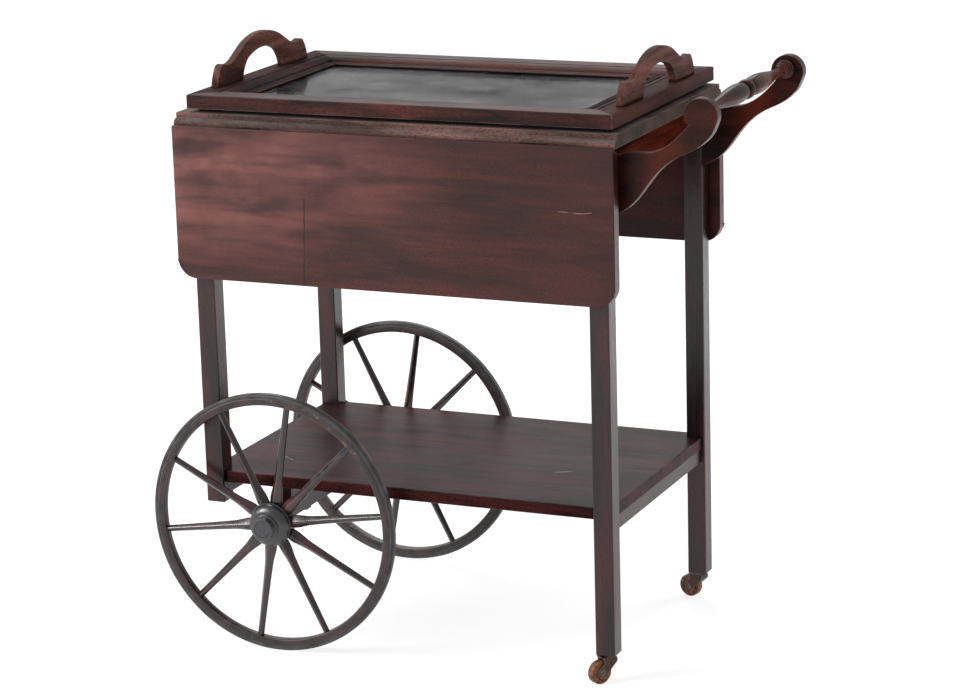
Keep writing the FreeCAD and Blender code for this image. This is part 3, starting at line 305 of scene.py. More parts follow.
# %% The dust group
dust, ins, outs = new_group(
    "dust", [("Vector", VECTOR, None), ("Amount", FLOAT, 0.5)], [("Dust", FLOAT), ("Lying", FLOAT)]
)
surface = add(dust, "ShaderNodeNewGeometry")
parts = add(dust, "ShaderNodeSeparateXYZ", {"Vector": surface.outputs["Normal"]})
lying = share(dust, parts.outputs["Z"], 0.4, 0.95)
cloudy = add(
    dust, "ShaderNodeTexNoise", {"Vector": ins.outputs["Vector"], "Scale": 11, "Detail": 8, "Roughness": 0.7}
)
patches = share(dust, cloudy.outputs["Fac"], 0.38, 0.66)
settled = sums(dust, "MULTIPLY", sums(dust, "MULTIPLY", lying, patches), ins.outputs["Amount"])
dust.links.new(settled, outs.inputs["Dust"])
dust.links.new(lying, outs.inputs["Lying"])

# %% [markdown]
# ## Marks
# Old furniture has single marks: a crack up a board, a scratch, a drip. Each is the distance from a
# short line on the board, bent a little by a noise so that it isn't ruled.

# %% The mark group
marks, ins, outs = new_group(
    "mark",
    [("Vector", VECTOR, None), ("Start", VECTOR, None), ("Run", VECTOR, None), ("Width", FLOAT, 0.001),
     ("Wander", FLOAT, 0.003)],
    [("Mark", FLOAT)],
)


def vector_math(tree, operation, a, b, result="Vector"):
    """One sum of two places or directions. Its result is a vector or a value."""
    return add(tree, "ShaderNodeVectorMath", {0: a, 1: b}, operation=operation).outputs[result]


ripple = add(marks, "ShaderNodeTexNoise", {"Vector": ins.outputs["Vector"], "Scale": 26, "Detail": 4})
centred = vector_math(marks, "SUBTRACT", ripple.outputs["Color"], (0.5, 0.5, 0.5))
wavy = add(marks, "ShaderNodeVectorMath", {0: centred, "Scale": ins.outputs["Wander"]}, operation="SCALE")
bent = vector_math(marks, "ADD", ins.outputs["Vector"], wavy.outputs["Vector"])
from_start = vector_math(marks, "SUBTRACT", bent, ins.outputs["Start"])
run = ins.outputs["Run"]
reached = sums(
    marks,
    "DIVIDE",
    vector_math(marks, "DOT_PRODUCT", from_start, run, "Value"),
    vector_math(marks, "DOT_PRODUCT", run, run, "Value"),
)
reached = share(marks, reached, 0, 1)
nearest = add(marks, "ShaderNodeVectorMath", {0: run, "Scale": reached}, operation="SCALE")
away = vector_math(marks, "DISTANCE", from_start, nearest.outputs["Vector"], "Value")
in_widths = sums(marks, "DIVIDE", away, ins.outputs["Width"])
marks.links.new(share(marks, in_widths, 1.0, 0.4), outs.inputs["Mark"])


def mark(tree, vector, start, end, width, wander=0.003):
    """The mask of one mark, from a start to an end in metres."""
    node = add(tree, "ShaderNodeGroup", {}, node_tree=marks)
    tree.links.new(vector, node.inputs["Vector"])
    node.inputs["Start"].default_value = start
    node.inputs["Run"].default_value = Vector(end) - Vector(start)
    node.inputs["Width"].default_value = width
    node.inputs["Wander"].default_value = wander
    return node.outputs["Mark"]


def flattened(tree, vector, scale):
    """The same place with one direction taken out, so that a mark goes right through a board."""
    return add(tree, "ShaderNodeMapping", {"Vector": vector, "Scale": scale}).outputs["Vector"]


# %% [markdown]
# ## Polished mahogany
# The wood is dark and red brown under an old shellac polish. Its own colour is deep, and most of what
# is seen is the soft sheen on top. One function mixes it for a board that runs along X, Y or Z.

# %% Polished mahogany
TURNS = {"x": (0, 0, 0), "y": (0, 0, math.radians(90)), "z": (0, math.radians(90), 0)}
DUST_COLOUR = (0.19, 0.175, 0.175, 1)
PORE_COLOUR = (0.004, 0.002, 0.002, 1)
# The dark laid in grooves and under overhangs: grime and painted shade.
GRIME_AND_SHADE_COLOUR = (0.004, 0.0025, 0.0025, 1)


def new_material(name):
    """An empty material, with its tree, its shader and its texture coordinates."""
    material = bpy.data.materials.new(name)
    material.use_nodes = True
    tree = material.node_tree
    return material, tree, tree.nodes["Principled BSDF"], add(tree, "ShaderNodeTexCoord")


def polished(
    name, along, dark, red, worn_colour, roughness, wear_amount=0.6, dust_amount=0.2, shift=0.0,
    sheen=0.45, dulled=0.22, change=None, relief_strength=0.3, grime_and_shade_amount=0.85,
):
    """Polished wood. A change function may lay its own marks on the wood before wear and dust."""
    material, tree, shader, place = new_material(name)
    laid = add(
        tree,
        "ShaderNodeMapping",
        {
            "Vector": place.outputs["Object"],
            "Rotation": TURNS[along],
            "Location": (shift, shift * 0.7, shift * 1.3),
        },
    )
    vector = laid.outputs["Vector"]
    figure = add(tree, "ShaderNodeGroup", {}, node_tree=grain)
    tree.links.new(vector, figure.inputs["Vector"])
    rub = add(tree, "ShaderNodeGroup", {}, node_tree=wear)
    tree.links.new(place.outputs["Object"], rub.inputs["Vector"])
    rub.inputs["Amount"].default_value = wear_amount
    grime = add(tree, "ShaderNodeGroup", {}, node_tree=dust)
    tree.links.new(place.outputs["Object"], grime.inputs["Vector"])
    grime.inputs["Amount"].default_value = dust_amount

    mixed = sums(tree, "MULTIPLY", figure.outputs["Bands"], 0.66)
    mixed = sums(tree, "ADD", mixed, sums(tree, "MULTIPLY", figure.outputs["Streaks"], 0.34))
    mixed = share(tree, mixed, 0.18, 0.8)
    wood = blend(tree, mixed, (*dark, 1), (*red, 1))
    wood = blend(tree, sums(tree, "MULTIPLY", figure.outputs["Pores"], 0.62), wood, PORE_COLOUR)
    if change:
        wood = change(tree, place.outputs["Object"], figure, wood)
    wood = blend(tree, rub.outputs["Worn"], wood, (*worn_colour, 1))
    wood = blend(tree, grime.outputs["Dust"], wood, DUST_COLOUR)
    # Grooves and overhangs are darkened: partly grime, partly painted shade.
    wood = blend(tree, sums(tree, "MULTIPLY", rub.outputs["Grime and shade"], grime_and_shade_amount), wood, GRIME_AND_SHADE_COLOUR)
    tree.links.new(wood, shader.inputs["Base Color"])

    matt = share(tree, figure.outputs["Streaks"], 0, 1, roughness - 0.06, roughness + 0.08)
    matt = sums(tree, "ADD", matt, sums(tree, "MULTIPLY", rub.outputs["Worn"], 0.12))
    matt = sums(tree, "ADD", matt, sums(tree, "MULTIPLY", grime.outputs["Lying"], dulled))
    tree.links.new(matt, shader.inputs["Roughness"])
    relief = sums(tree, "MULTIPLY", figure.outputs["Streaks"], 0.5)
    relief = sums(tree, "SUBTRACT", relief, figure.outputs["Pores"])
    bump = add(tree, "ShaderNodeBump", {"Strength": relief_strength, "Distance": 0.0002, "Height": relief})
    tree.links.new(bump.outputs["Normal"], shader.inputs["Normal"])
    shader.inputs["Specular IOR Level"].default_value = sheen
    return material


# %% [markdown]
# ## The leaf's own marks
# The near leaf's upper wheel end is painted a paler pink in patches: a painted highlight, the sheen of
# a window. It is painted darker along its top edge and towards the push handle: painted shade. A crack
# runs up from its lower edge, and a scratch crosses it near the push handle.


# %% Fading, crack and scratch
def leaf_marks(tree, vector, figure, wood):
    """The near leaf's wood with its painted highlight, its painted shade, its crack and its scratch."""
    parts = add(tree, "ShaderNodeSeparateXYZ", {"Vector": vector})
    cloud = add(tree, "ShaderNodeTexNoise", {"Vector": vector, "Scale": 7, "Detail": 6, "Roughness": 0.6})
    # Painted highlight: the upper wheel end is painted paler, in cloudy patches, for a window's sheen on the
    # polish.
    left = share(tree, parts.outputs["X"], 0.06, -0.3)
    high = share(tree, parts.outputs["Z"], 0.53, 0.66, 0.12, 1.0)
    painted_sheen = sums(tree, "MULTIPLY", left, high)
    painted_sheen = sums(tree, "MULTIPLY", painted_sheen, share(tree, cloud.outputs["Fac"], 0.2, 0.5))
    painted_sheen = sums(tree, "MULTIPLY", painted_sheen, share(tree, figure.outputs["Bands"], 0, 0.8, 0.3, 1.0))
    wood = blend(tree, painted_sheen, wood, (0.36, 0.14, 0.127, 1))
    # Painted shade: darker towards the push handle and along the top edge, where the leaf hangs under the
    # board.
    painted_shade = share(tree, parts.outputs["X"], 0.05, 0.27, 0.0, 0.4)
    painted_shade = sums(tree, "MAXIMUM", painted_shade, share(tree, parts.outputs["Z"], 0.672, 0.7, 0.0, 0.4))
    wood = blend(tree, painted_shade, wood, (0.03, 0.006, 0.005, 1))
    flat = flattened(tree, vector, (1, 0, 1))
    crack = mark(tree, flat, (-0.1606, 0, 0.505), (-0.1554, 0, 0.621), 0.0011, 0.006)
    wood = blend(tree, crack, wood, PORE_COLOUR)
    scratch = mark(tree, flat, (0.1847, 0, 0.6243), (0.241, 0, 0.6276), 0.0011, 0.009)
    return blend(tree, sums(tree, "MULTIPLY", scratch, 0.8), wood, (0.3, 0.17, 0.15, 1))


# %% [markdown]
# ## The shelf's marks
# Things have stood on the shelf and left a few pale drips.


# %% Drips
def shelf_marks(tree, vector, figure, wood):
    """The shelf's wood with three pale drips."""
    flat = flattened(tree, vector, (1, 1, 0))
    for start, end, width in (
        ((0.121, -0.050, 0), (0.141, -0.041, 0), 0.0022),
        ((0.058, 0.166, 0), (0.066, 0.171, 0), 0.0024),
        ((-0.28, -0.084, 0), (-0.24, -0.111, 0), 0.0018),
    ):
        wood = blend(tree, mark(tree, flat, start, end, width, 0.018), wood, (0.3, 0.27, 0.26, 1))
    return wood


# %% [markdown]
# ## End grain and warm patches
# The sawn ends of the top board are a dull dark brown. The push handle's brackets are painted redder
# in patches along their arms.


# %% End grain and warm patches
def end_grain(tree, vector, figure, wood):
    """A dull, blotched brown on the faces that look along X."""
    way = add(tree, "ShaderNodeTexCoord").outputs["Normal"]
    facing = add(tree, "ShaderNodeSeparateXYZ", {"Vector": way})
    ends = share(tree, sums(tree, "ABSOLUTE", facing.outputs["X"], 0), 0.6, 0.8)
    blotches = add(tree, "ShaderNodeTexNoise", {"Vector": vector, "Scale": 24, "Detail": 5})
    blotched = share(tree, blotches.outputs["Fac"], 0.35, 0.65)
    sawn = blend(tree, blotched, (0.02, 0.013, 0.009, 1), (0.065, 0.035, 0.024, 1))
    return blend(tree, ends, wood, sawn)


def warm_patches(tree, vector, figure, wood):
    """Redder patches on the arm of a bracket."""
    patches = add(tree, "ShaderNodeTexNoise", {"Vector": vector, "Scale": 13, "Detail": 4, "Distortion": 0.4})
    warm = share(tree, patches.outputs["Fac"], 0.3, 0.6, 0.25, 0.9)
    parts = add(tree, "ShaderNodeSeparateXYZ", {"Vector": vector})
    arm = share(tree, parts.outputs["X"], 0.285, 0.325)
    arm = sums(tree, "MULTIPLY", arm, share(tree, parts.outputs["X"], 0.36, 0.34, 0.04, 1.0))
    return blend(tree, sums(tree, "MULTIPLY", warm, arm), wood, (0.2, 0.034, 0.015, 1))


# %% The woods of the trolley
DARK, RED = (0.01, 0.0038, 0.0034), (0.06, 0.0115, 0.0078)
RUBBED = (0.15, 0.042, 0.026)
# A pale colour for the worn edges of the tray, its handles and the brackets. It is partly wear and partly a
# painted highlight: the light lines that their rounded arrises catch.
PALE_WEAR_AND_HIGHLIGHT = (0.3, 0.2, 0.17)
LEAF_DARK, LEAF_RED = (0.03, 0.0075, 0.006), (0.1, 0.019, 0.013)
near_leaf_wood = polished(
    "near leaf wood", "x", LEAF_DARK, LEAF_RED, RUBBED, 0.34, sheen=0.36, change=leaf_marks
)
far_leaf_wood = polished("far leaf wood", "x", LEAF_DARK, LEAF_RED, RUBBED, 0.34, shift=0.81, sheen=0.2)
# The top's pale colours, pale worn colour and heavy dust are partly its own and partly a painted highlight:
# the lit ledge of its moulding.
top_wood = polished(
    "top wood", "x", (0.09, 0.054, 0.047), (0.33, 0.17, 0.145), (0.4, 0.3, 0.27), 0.5, 0.8, 0.9,
    shift=0.37, sheen=0.05, grime_and_shade_amount=0.3, change=end_grain,
)
leg_wood = polished("leg wood", "z", DARK, RED, (0.2, 0.07, 0.045), 0.3, 0.9, shift=0.11, sheen=0.5)
rail_wood = polished(
    "rail wood", "y", DARK, (0.055, 0.013, 0.009), (0.2, 0.12, 0.1), 0.34, 0.6, shift=0.23, sheen=0.4
)
apron_wood = polished(
    "end apron wood", "y", (0.02, 0.006, 0.004), (0.12, 0.022, 0.012), RUBBED, 0.5, 0.5,
    shift=0.51, sheen=0.0,
)
side_wood = polished("side rail wood", "x", DARK, RED, RUBBED, 0.45, 0.4, shift=0.31, sheen=0.3)
# The shelf's pale worn colour is partly wear and partly a painted reflection: the light its end edges catch.
shelf_wood = polished(
    "shelf wood", "x", (0.014, 0.005, 0.0055), (0.07, 0.016, 0.015), (0.45, 0.36, 0.35), 0.34, 1.0, 0.1,
    shift=0.6, sheen=0.04, dulled=0.0, change=shelf_marks,
)
tray_long_wood = polished(
    "tray wood along", "x", (0.016, 0.0062, 0.0055), (0.11, 0.028, 0.022), PALE_WEAR_AND_HIGHLIGHT, 0.4, 1.0, 0.2,
    shift=0.9, sheen=0.18,
)
tray_cross_wood = polished(
    "tray wood across", "y", DARK, (0.075, 0.016, 0.011), PALE_WEAR_AND_HIGHLIGHT, 0.45, 0.9, 0.15, shift=0.45, sheen=0.03
)
handle_wood = polished(
    "tray handle wood", "y", (0.06, 0.027, 0.022), (0.27, 0.11, 0.085), PALE_WEAR_AND_HIGHLIGHT, 0.5, 0.8, 0.35,
    shift=0.3, sheen=0.02,
)
bracket_wood = polished(
    "bracket wood", "x", (0.015, 0.005, 0.0035), (0.06, 0.014, 0.009), PALE_WEAR_AND_HIGHLIGHT, 0.34, 0.8, 0.05,
    shift=0.55, sheen=0.16, change=warm_patches,
)
bar_wood = polished(
    "bar wood", "y", (0.022, 0.007, 0.005), (0.16, 0.05, 0.03), (0.2, 0.08, 0.05), 0.3, 0.3, 0.05,
    shift=0.72, sheen=0.0, dulled=0.0, relief_strength=0.05,
)
bar_shader = bar_wood.node_tree.nodes["Principled BSDF"]
bar_shader.inputs["Coat Weight"].default_value = 0.32
bar_shader.inputs["Coat Roughness"].default_value = 0.16
print(len(bpy.data.materials), "materials")

# %% [markdown]
# ## Hidden wood
# Inside and underneath, cabinet makers leave the wood without polish: paler, dry and dusty.

# %% Unpolished wood
bare_wood = polished(
    "bare wood", "x", (0.09, 0.048, 0.027), (0.2, 0.11, 0.062), (0.3, 0.19, 0.12), 0.75, 0.3, 0.4, sheen=0.2
)

# %% [markdown]
# ## Metal, rubber, paint
# Old steel is dull and mottled, iron is brown with age, and the tyres are grey with dust. Hubs, rims
# and spokes were painted dark over the wood. Near the hub the spokes' paint has rubbed through to red.


# %% Worn metal, rubber and paint
def mottled(
    name, base, spots, roughness, metallic, scale=90, wear_amount=0.4, worn_colour=(0.4, 0.38, 0.36),
    sheen=0.5, change=None, stretch=(1, 1, 1),
):
    """A base colour with spots. A change function may lay its own marks on it before the wear."""
    material, tree, shader, place = new_material(name)
    rub = add(tree, "ShaderNodeGroup", {}, node_tree=wear)
    tree.links.new(place.outputs["Object"], rub.inputs["Vector"])
    rub.inputs["Amount"].default_value = wear_amount
    laid = add(tree, "ShaderNodeMapping", {"Vector": place.outputs["Object"], "Scale": stretch})
    spotty = add(
        tree,
        "ShaderNodeTexNoise",
        {"Vector": laid.outputs["Vector"], "Scale": scale, "Detail": 6, "Roughness": 0.6},
    )
    amount = share(tree, spotty.outputs["Fac"], 0.4, 0.62)
    colour = blend(tree, amount, (*base, 1), (*spots, 1))
    if change:
        colour = change(tree, place.outputs["Object"], colour)
    colour = blend(tree, rub.outputs["Worn"], colour, (*worn_colour, 1))
    tree.links.new(colour, shader.inputs["Base Color"])
    tree.links.new(share(tree, amount, 0, 1, roughness, roughness + 0.14), shader.inputs["Roughness"])
    bump = add(tree, "ShaderNodeBump", {"Strength": 0.2, "Distance": 0.0002, "Height": spotty.outputs["Fac"]})
    tree.links.new(bump.outputs["Normal"], shader.inputs["Normal"])
    shader.inputs["Metallic"].default_value = metallic
    shader.inputs["Specular IOR Level"].default_value = sheen
    return material


# %% Joints and rubbed paint in the wheels
AXLE_X, AXLE_Z = -0.221, 0.178
AXLE = Vector((AXLE_X, 0, AXLE_Z))


def round_the_axle(degrees, radius):
    """A point on the wheel, by its turn from straight up and its distance from the axle."""
    turn = math.radians(degrees)
    return AXLE + Vector((math.sin(turn), 0, math.cos(turn))) * radius


def felloe_joint(tree, vector, colour):
    """Two slanting joints where the ends of the bent rim meet, and chipped paint in patches."""
    flat = flattened(tree, vector, (1, 0, 1))
    for degrees in (-39, 141):
        inner, outer = round_the_axle(degrees - 1, 0.161), round_the_axle(degrees + 2, 0.173)
        joint = mark(tree, flat, inner, outer, 0.0009, 0.001)
        colour = blend(tree, joint, colour, (0.006, 0.005, 0.005, 1))
    chips = add(tree, "ShaderNodeTexNoise", {"Vector": vector, "Scale": 240, "Detail": 2})
    where = add(tree, "ShaderNodeTexNoise", {"Vector": vector, "Scale": 9, "Detail": 2})
    chipped = share(tree, chips.outputs["Fac"], 0.66, 0.7)
    chipped = sums(tree, "MULTIPLY", chipped, share(tree, where.outputs["Fac"], 0.5, 0.62))
    return blend(tree, chipped, colour, (0.3, 0.19, 0.13, 1))


def tyre_joint(tree, vector, colour):
    """The butt joint where the ends of the rubber meet."""
    flat = flattened(tree, vector, (1, 0, 1))
    joint = mark(tree, flat, round_the_axle(37.4, 0.171), round_the_axle(37.4, 0.179), 0.0009, 0.001)
    return blend(tree, joint, colour, (0.008, 0.008, 0.008, 1))


def spoke_rub(tree, vector, colour):
    """Red wood shows through the paint near the hub."""
    from_axle = add(
        tree, "ShaderNodeMapping", {"Vector": vector, "Location": (-AXLE_X, 0, -AXLE_Z), "Scale": (1, 0, 1)}
    )
    away = add(tree, "ShaderNodeVectorMath", {0: from_axle.outputs["Vector"]}, operation="LENGTH")
    cloud = add(tree, "ShaderNodeTexNoise", {"Vector": vector, "Scale": 45, "Detail": 5})
    near = share(tree, away.outputs["Value"], 0.09, 0.03)
    near = sums(tree, "MULTIPLY", near, share(tree, cloud.outputs["Fac"], 0.42, 0.6))
    return blend(tree, near, colour, (0.085, 0.023, 0.017, 1))


# %% Glass and the panel under it
def panel_scratches(tree, vector, colour):
    """Short pale scratches on the panel."""
    flat = flattened(tree, vector, (1, 1, 0))
    for start, end, width in (
        ((0.004, 0.026, 0), (0.016, 0.006, 0), 0.0012), ((0.16, -0.03, 0), (0.21, -0.06, 0), 0.0007),
        ((0.17, -0.01, 0), (0.22, -0.05, 0), 0.0006), ((0.06, 0.1, 0), (0.075, 0.07, 0), 0.0009),
        ((0.12, -0.11, 0), (0.17, -0.125, 0), 0.0006), ((-0.16, -0.05, 0), (-0.14, -0.07, 0), 0.0007),
        ((0.18, 0.02, 0), (0.215, -0.02, 0), 0.0006), ((-0.1, 0.05, 0), (-0.06, 0.035, 0), 0.0006),
    ):
        line = mark(tree, flat, start, end, width, 0.004)
        colour = blend(tree, sums(tree, "MULTIPLY", line, 0.75), colour, (0.45, 0.45, 0.46, 1))
    return colour


# %% The other finishes
steel = mottled("old steel", (0.3, 0.29, 0.27), (0.12, 0.08, 0.06), 0.35, 1.0)
iron = mottled(
    "brown iron", (0.035, 0.024, 0.018), (0.09, 0.04, 0.022), 0.36, 0.5, 160, 0.8, (0.5, 0.47, 0.44)
)
rubber = mottled(
    "tyre rubber", (0.07, 0.066, 0.067), (0.035, 0.029, 0.028), 0.45, 0.0, 40, 0.5, (0.2, 0.2, 0.2),
    change=tyre_joint,
)
hub_paint = mottled(
    "hub paint", (0.022, 0.022, 0.028), (0.012, 0.011, 0.013), 0.3, 0.0, 60, 0.3, (0.42, 0.42, 0.44),
    sheen=0.95,
)
spoke_paint = mottled(
    "spoke paint", (0.012, 0.008, 0.009), (0.04, 0.015, 0.013), 0.2, 0.0, 60, 0.4, (0.16, 0.08, 0.065),
    sheen=0.8, change=spoke_rub,
)
rim_paint = mottled(
    "rim paint", (0.02, 0.015, 0.015), (0.055, 0.031, 0.027), 0.34, 0.0, 50, 0.8, (0.4, 0.38, 0.38),
    sheen=0.5, change=felloe_joint,
)
caster_wood = mottled(
    "caster wood", (0.4, 0.14, 0.06), (0.06, 0.026, 0.018), 0.5, 0.0, 170, 0.5, (0.62, 0.34, 0.2)
)
panel_finish = mottled(
    "tray panel", (0.014, 0.013, 0.015), (0.06, 0.055, 0.06), 0.85, 0.0, 14, 0.0,
    sheen=0.0, change=panel_scratches, stretch=(0.35, 1, 1),
)

# %% [markdown]
# ## Dusty glass
# The pane lets most of the light through. Smears of dust make it rougher and less clear in patches.
# Its index is lower than that of real glass, so it mirrors less of the white surround.

# %% Dusty glass
GLASS_INDEX = 1.15
glass, tree, shader, place = new_material("tray glass")
film = add(
    tree, "ShaderNodeTexNoise", {"Vector": place.outputs["Object"], "Scale": 9, "Detail": 8, "Roughness": 0.7}
)
smears = share(tree, film.outputs["Fac"], 0.35, 0.7)
tree.links.new(blend(tree, smears, (0.82, 0.84, 0.85, 1), (0.62, 0.63, 0.64, 1)), shader.inputs["Base Color"])
tree.links.new(share(tree, smears, 0, 1, 0.04, 0.16), shader.inputs["Roughness"])
shader.inputs["Transmission Weight"].default_value = 1.0
shader.inputs["IOR"].default_value = GLASS_INDEX
tree.links.new(share(tree, smears, 0, 1, 0.06, 0.24), shader.inputs["Alpha"])

# %% [markdown]
# ## Pieces that stay as they are
# Most of these are inside or underneath. They keep their CAD shape and only get a finish.

# %% Finishes for the pieces that stay as they are
KEPT = (
    (side_wood, ("side_apron_near", "side_apron_far", "tray_base")),
    (bare_wood, ("glue_blocks", "loper_near", "loper_far", "loper_guides")),
    (panel_finish, ("tray_panel",)),
    (steel, ("frame_screws", "hinge_board_flaps", "hinge_pins")),
    (steel, ("leaf_near_hinge_flaps", "leaf_far_hinge_flaps", "axle_rod", "axle_washers", "linch_pins")),
    (steel, ("wheel_near_bush", "wheel_far_bush")),
    (iron, ("axle_straps", "caster_sockets")),
)
for finish, nodes in KEPT:
    for node in nodes:
        for held in frame["nodes"][node].material_slots:
            held.link = "OBJECT"
            held.material = finish
print(sum(len(nodes) for _, nodes in KEPT), "pieces keep their shape")

# %% [markdown]
# ## Boards, legs and rails
# Their shapes are right already, but no real arris is knife sharp. Each board is copied, merged into
# whole faces, and a bevel eases its edges, which then catch the light as thin lines.

# %% Boards, legs and rails with eased edges
EASED = (
    ("frame", leg_wood, "frame_wood", ("leg_handle_near", "leg_handle_far")),
    ("frame", leg_wood, "frame_wood", ("leg_wheel_near", "leg_wheel_far")),
    ("frame", apron_wood, "frame_wood", ("end_apron_handle", "end_apron_wheel")),
    ("frame", rail_wood, "frame_wood", ("shelf_rail_handle", "shelf_rail_wheel", "axle_bed")),
    ("frame", shelf_wood, "shelf_wood", ("shelf_board",)),
    ("frame", top_wood, "top_wood", ("top_board",)),
    ("leaf_near", near_leaf_wood, "leaf_wood", ("leaf_near",)),
    ("leaf_far", far_leaf_wood, "leaf_wood", ("leaf_far",)),
    ("tray", tray_long_wood, "tray_wood", ("tray_rail_near", "tray_rail_far")),
    ("tray", tray_cross_wood, "tray_wood", ("tray_rail_handle", "tray_rail_wheel")),
    ("tray", handle_wood, "handle_wood", ("tray_handle_handle_end", "tray_handle_wheel_end")),
    ("frame", bracket_wood, "handle_wood", ("bracket_near", "bracket_far")),
    ("caster_near", iron, "caster_iron", ("caster_near_horn",)),
    ("caster_far", iron, "caster_iron", ("caster_far_horn",)),
)
SMALL_EASE, LARGE_EASE = 0.35 * mm, 0.7 * mm
for body, finish, slot, nodes in EASED:
    for node in nodes:
        width = SMALL_EASE if "horn" in node or "tray_rail" in node else LARGE_EASE
        finish_piece(eased_copy(node, width), body, finish, slot, node)

# %% [markdown]
# ## The glass pane
# A sheet of glass never touches the board under it all over. The pane's underside is lifted by a
# fraction of a millimetre, which also keeps the two faces from lying in one plane.

# %% The pane
pane = eased_copy("tray_glass", 0.2 * mm)
pane_low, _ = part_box("tray_glass")
edit(pane)
pick_vertices(pane, lambda place: place.z < pane_low.z + 1 * mm)
bpy.ops.transform.translate(value=(0, 0, 0.3 * mm))
bpy.ops.object.mode_set(mode="OBJECT")
finish_piece(pane, "tray", glass, "tray_glass", "tray_glass")

# %% [markdown]
# ## Turning on the lathe
# The push bar, the hubs and the caster wheels are turned. On a lathe every piece is round, so each
# starts as a disc that is extruded along its axis and made wider or narrower at every step.


# %% A lathe
SAME_PLACE = 1e-7
SMOOTH_BELOW = math.radians(38)


def curve_round(centre, radii, start, end, steps=10):
    """Steps along a quarter or half round, as distances along the axis and radii."""
    angles = [math.radians(start + (end - start) * step / steps) for step in range(steps + 1)]
    return [(centre[0] + radii[0] * math.cos(a), centre[1] + radii[1] * math.sin(a)) for a in angles]


def turned(name, stations, at, turn, segments=96):
    """A solid through (distance, radius) stations in millimetres, its axis turned from upright."""
    first_at, first_radius = stations[0]
    bpy.ops.object.select_all(action="DESELECT")
    bpy.ops.mesh.primitive_circle_add(
        vertices=segments, radius=first_radius * mm, fill_type="NGON", location=(0, 0, first_at * mm)
    )
    piece = bpy.context.object
    piece.name = name
    bpy.ops.object.transform_apply(location=True, rotation=True, scale=True)
    edit(piece, "FACE")
    for (before, was), (along, radius) in zip(stations, stations[1:]):
        bpy.ops.mesh.extrude_region_move(TRANSFORM_OT_translate={"value": (0, 0, (along - before) * mm)})
        if abs(radius - was) > 1e-6:
            wider = radius / was
            bpy.ops.transform.resize(value=(wider, wider, 1), center_override=(0, 0, along * mm))
    bpy.ops.mesh.select_all(action="SELECT")
    bpy.ops.mesh.remove_doubles(threshold=SAME_PLACE)
    bpy.ops.mesh.normals_make_consistent(inside=False)
    bpy.ops.object.mode_set(mode="OBJECT")
    piece.rotation_euler = turn
    piece.location = at
    bpy.ops.object.transform_apply(location=True, rotation=True, scale=True)
    bpy.ops.object.shade_smooth_by_angle(angle=SMOOTH_BELOW)
    return piece


def other_side(piece, name):
    """A copy on the far side of the trolley, with its own mesh."""
    only(piece)
    bpy.ops.object.duplicate()
    twin = bpy.context.object
    twin.name = name
    twin.parent = None
    twin.scale = (1, -1, 1)
    bpy.ops.object.transform_apply(location=True, rotation=True, scale=True)
    edit(twin)
    bpy.ops.mesh.normals_make_consistent(inside=False)
    bpy.ops.object.mode_set(mode="OBJECT")
    return twin


def finish_pair(near_piece, material, slot, node):
    """Finishes a piece of the near wheel, then copies it for the far wheel and finishes that too."""
    finish_piece(near_piece, "wheel_near", material, slot, "wheel_near_" + node)
    far_piece = other_side(near_piece, near_piece.name.replace("near", "far"))
    finish_piece(far_piece, "wheel_far", material, slot, "wheel_far_" + node)


# %% [markdown]
# ## The push bar
# A bead in the middle, a long vase and neck each way, then rings that grow to a collar at each
# bracket. Only one half is written down. The other is the same list read backwards.

# %% The push bar
bar_half = curve_round((0, 9.4), (8.5, 3.6), 90, 0)
bar_half += curve_round((40, 9.4), (27.9, 3.4), 180, 90, 14)
VASE_AT, VASE_RADIUS = 40, 12.8
NECK_LENGTH, NECK_THINNER_BY, NECK_STEPS = 88, 6.8, 16
for step in range(1, NECK_STEPS + 1):
    share_out = step / NECK_STEPS
    radius = VASE_RADIUS - NECK_THINNER_BY * (1 - math.cos(math.pi * share_out)) / 2
    bar_half.append((VASE_AT + NECK_LENGTH * share_out, radius))
bar_half += curve_round((141.5, 7.6), (5, 1.6), -90, 0, 5)
for ring_at, ring_radius, ring_round in ((149, 7.3, 2.5), (154, 8.9, 2.5), (160, 9.6, 3.4)):
    bar_half += curve_round((ring_at, ring_radius), (ring_round, ring_round), 170, 10)
TENON_RADIUS = 6.0
bar_half += [(163.5, TENON_RADIUS), (173.5, TENON_RADIUS)]
bar_stations = [(-along, radius) for along, radius in reversed(bar_half[1:])] + bar_half
BAR_AT = (0.375, 0, 0.7526)
ACROSS = (math.radians(-90), 0, 0)
push_bar = turned("handle_bar_turned", bar_stations, BAR_AT, ACROSS, 72)
finish_piece(push_bar, "frame", bar_wood, "handle_wood", "handle_bar")

# %% [markdown]
# ## The hubs
# A hub flares from the axle to the band that holds the spokes, then a flange, a dome, a small bead
# and the nose. A cap with turned rings closes the nose over the end of the axle.

# %% Hubs and caps
OUTWARD = (math.radians(90), 0, 0)
NEAR_WHEEL_Y = -0.2075
NEAR_WHEEL = (AXLE_X, NEAR_WHEEL_Y, AXLE_Z)
hub_stations = [(-20.5, 8.3), (-22, 8.3), (-22, 16.2), (-21.6, 17.0)]
hub_stations += curve_round((-22, 28), (14, 11), -84, 0, 12)[1:]
hub_stations += [(8, 28), (8, 29.6), (8.4, 30), (10.5, 30), (11, 29.6), (11, 28.8)]
hub_stations += curve_round((11, 16.25), (11.5, 12.55), 88, 8, 16)
hub_stations += curve_round((24.25, 16.3), (1.75, 1.75), 150, 25, 6)
hub_stations += [(26, 15.3), (26.5, 15), (33.2, 15), (34.1, 14.6), (34.5, 13.8), (34.5, 10.8), (31.2, 10.7)]
near_hub = turned("wheel_near_hub_turned", hub_stations, NEAR_WHEEL, OUTWARD, 128)
finish_pair(near_hub, hub_paint, "wheel_wood", "hub")

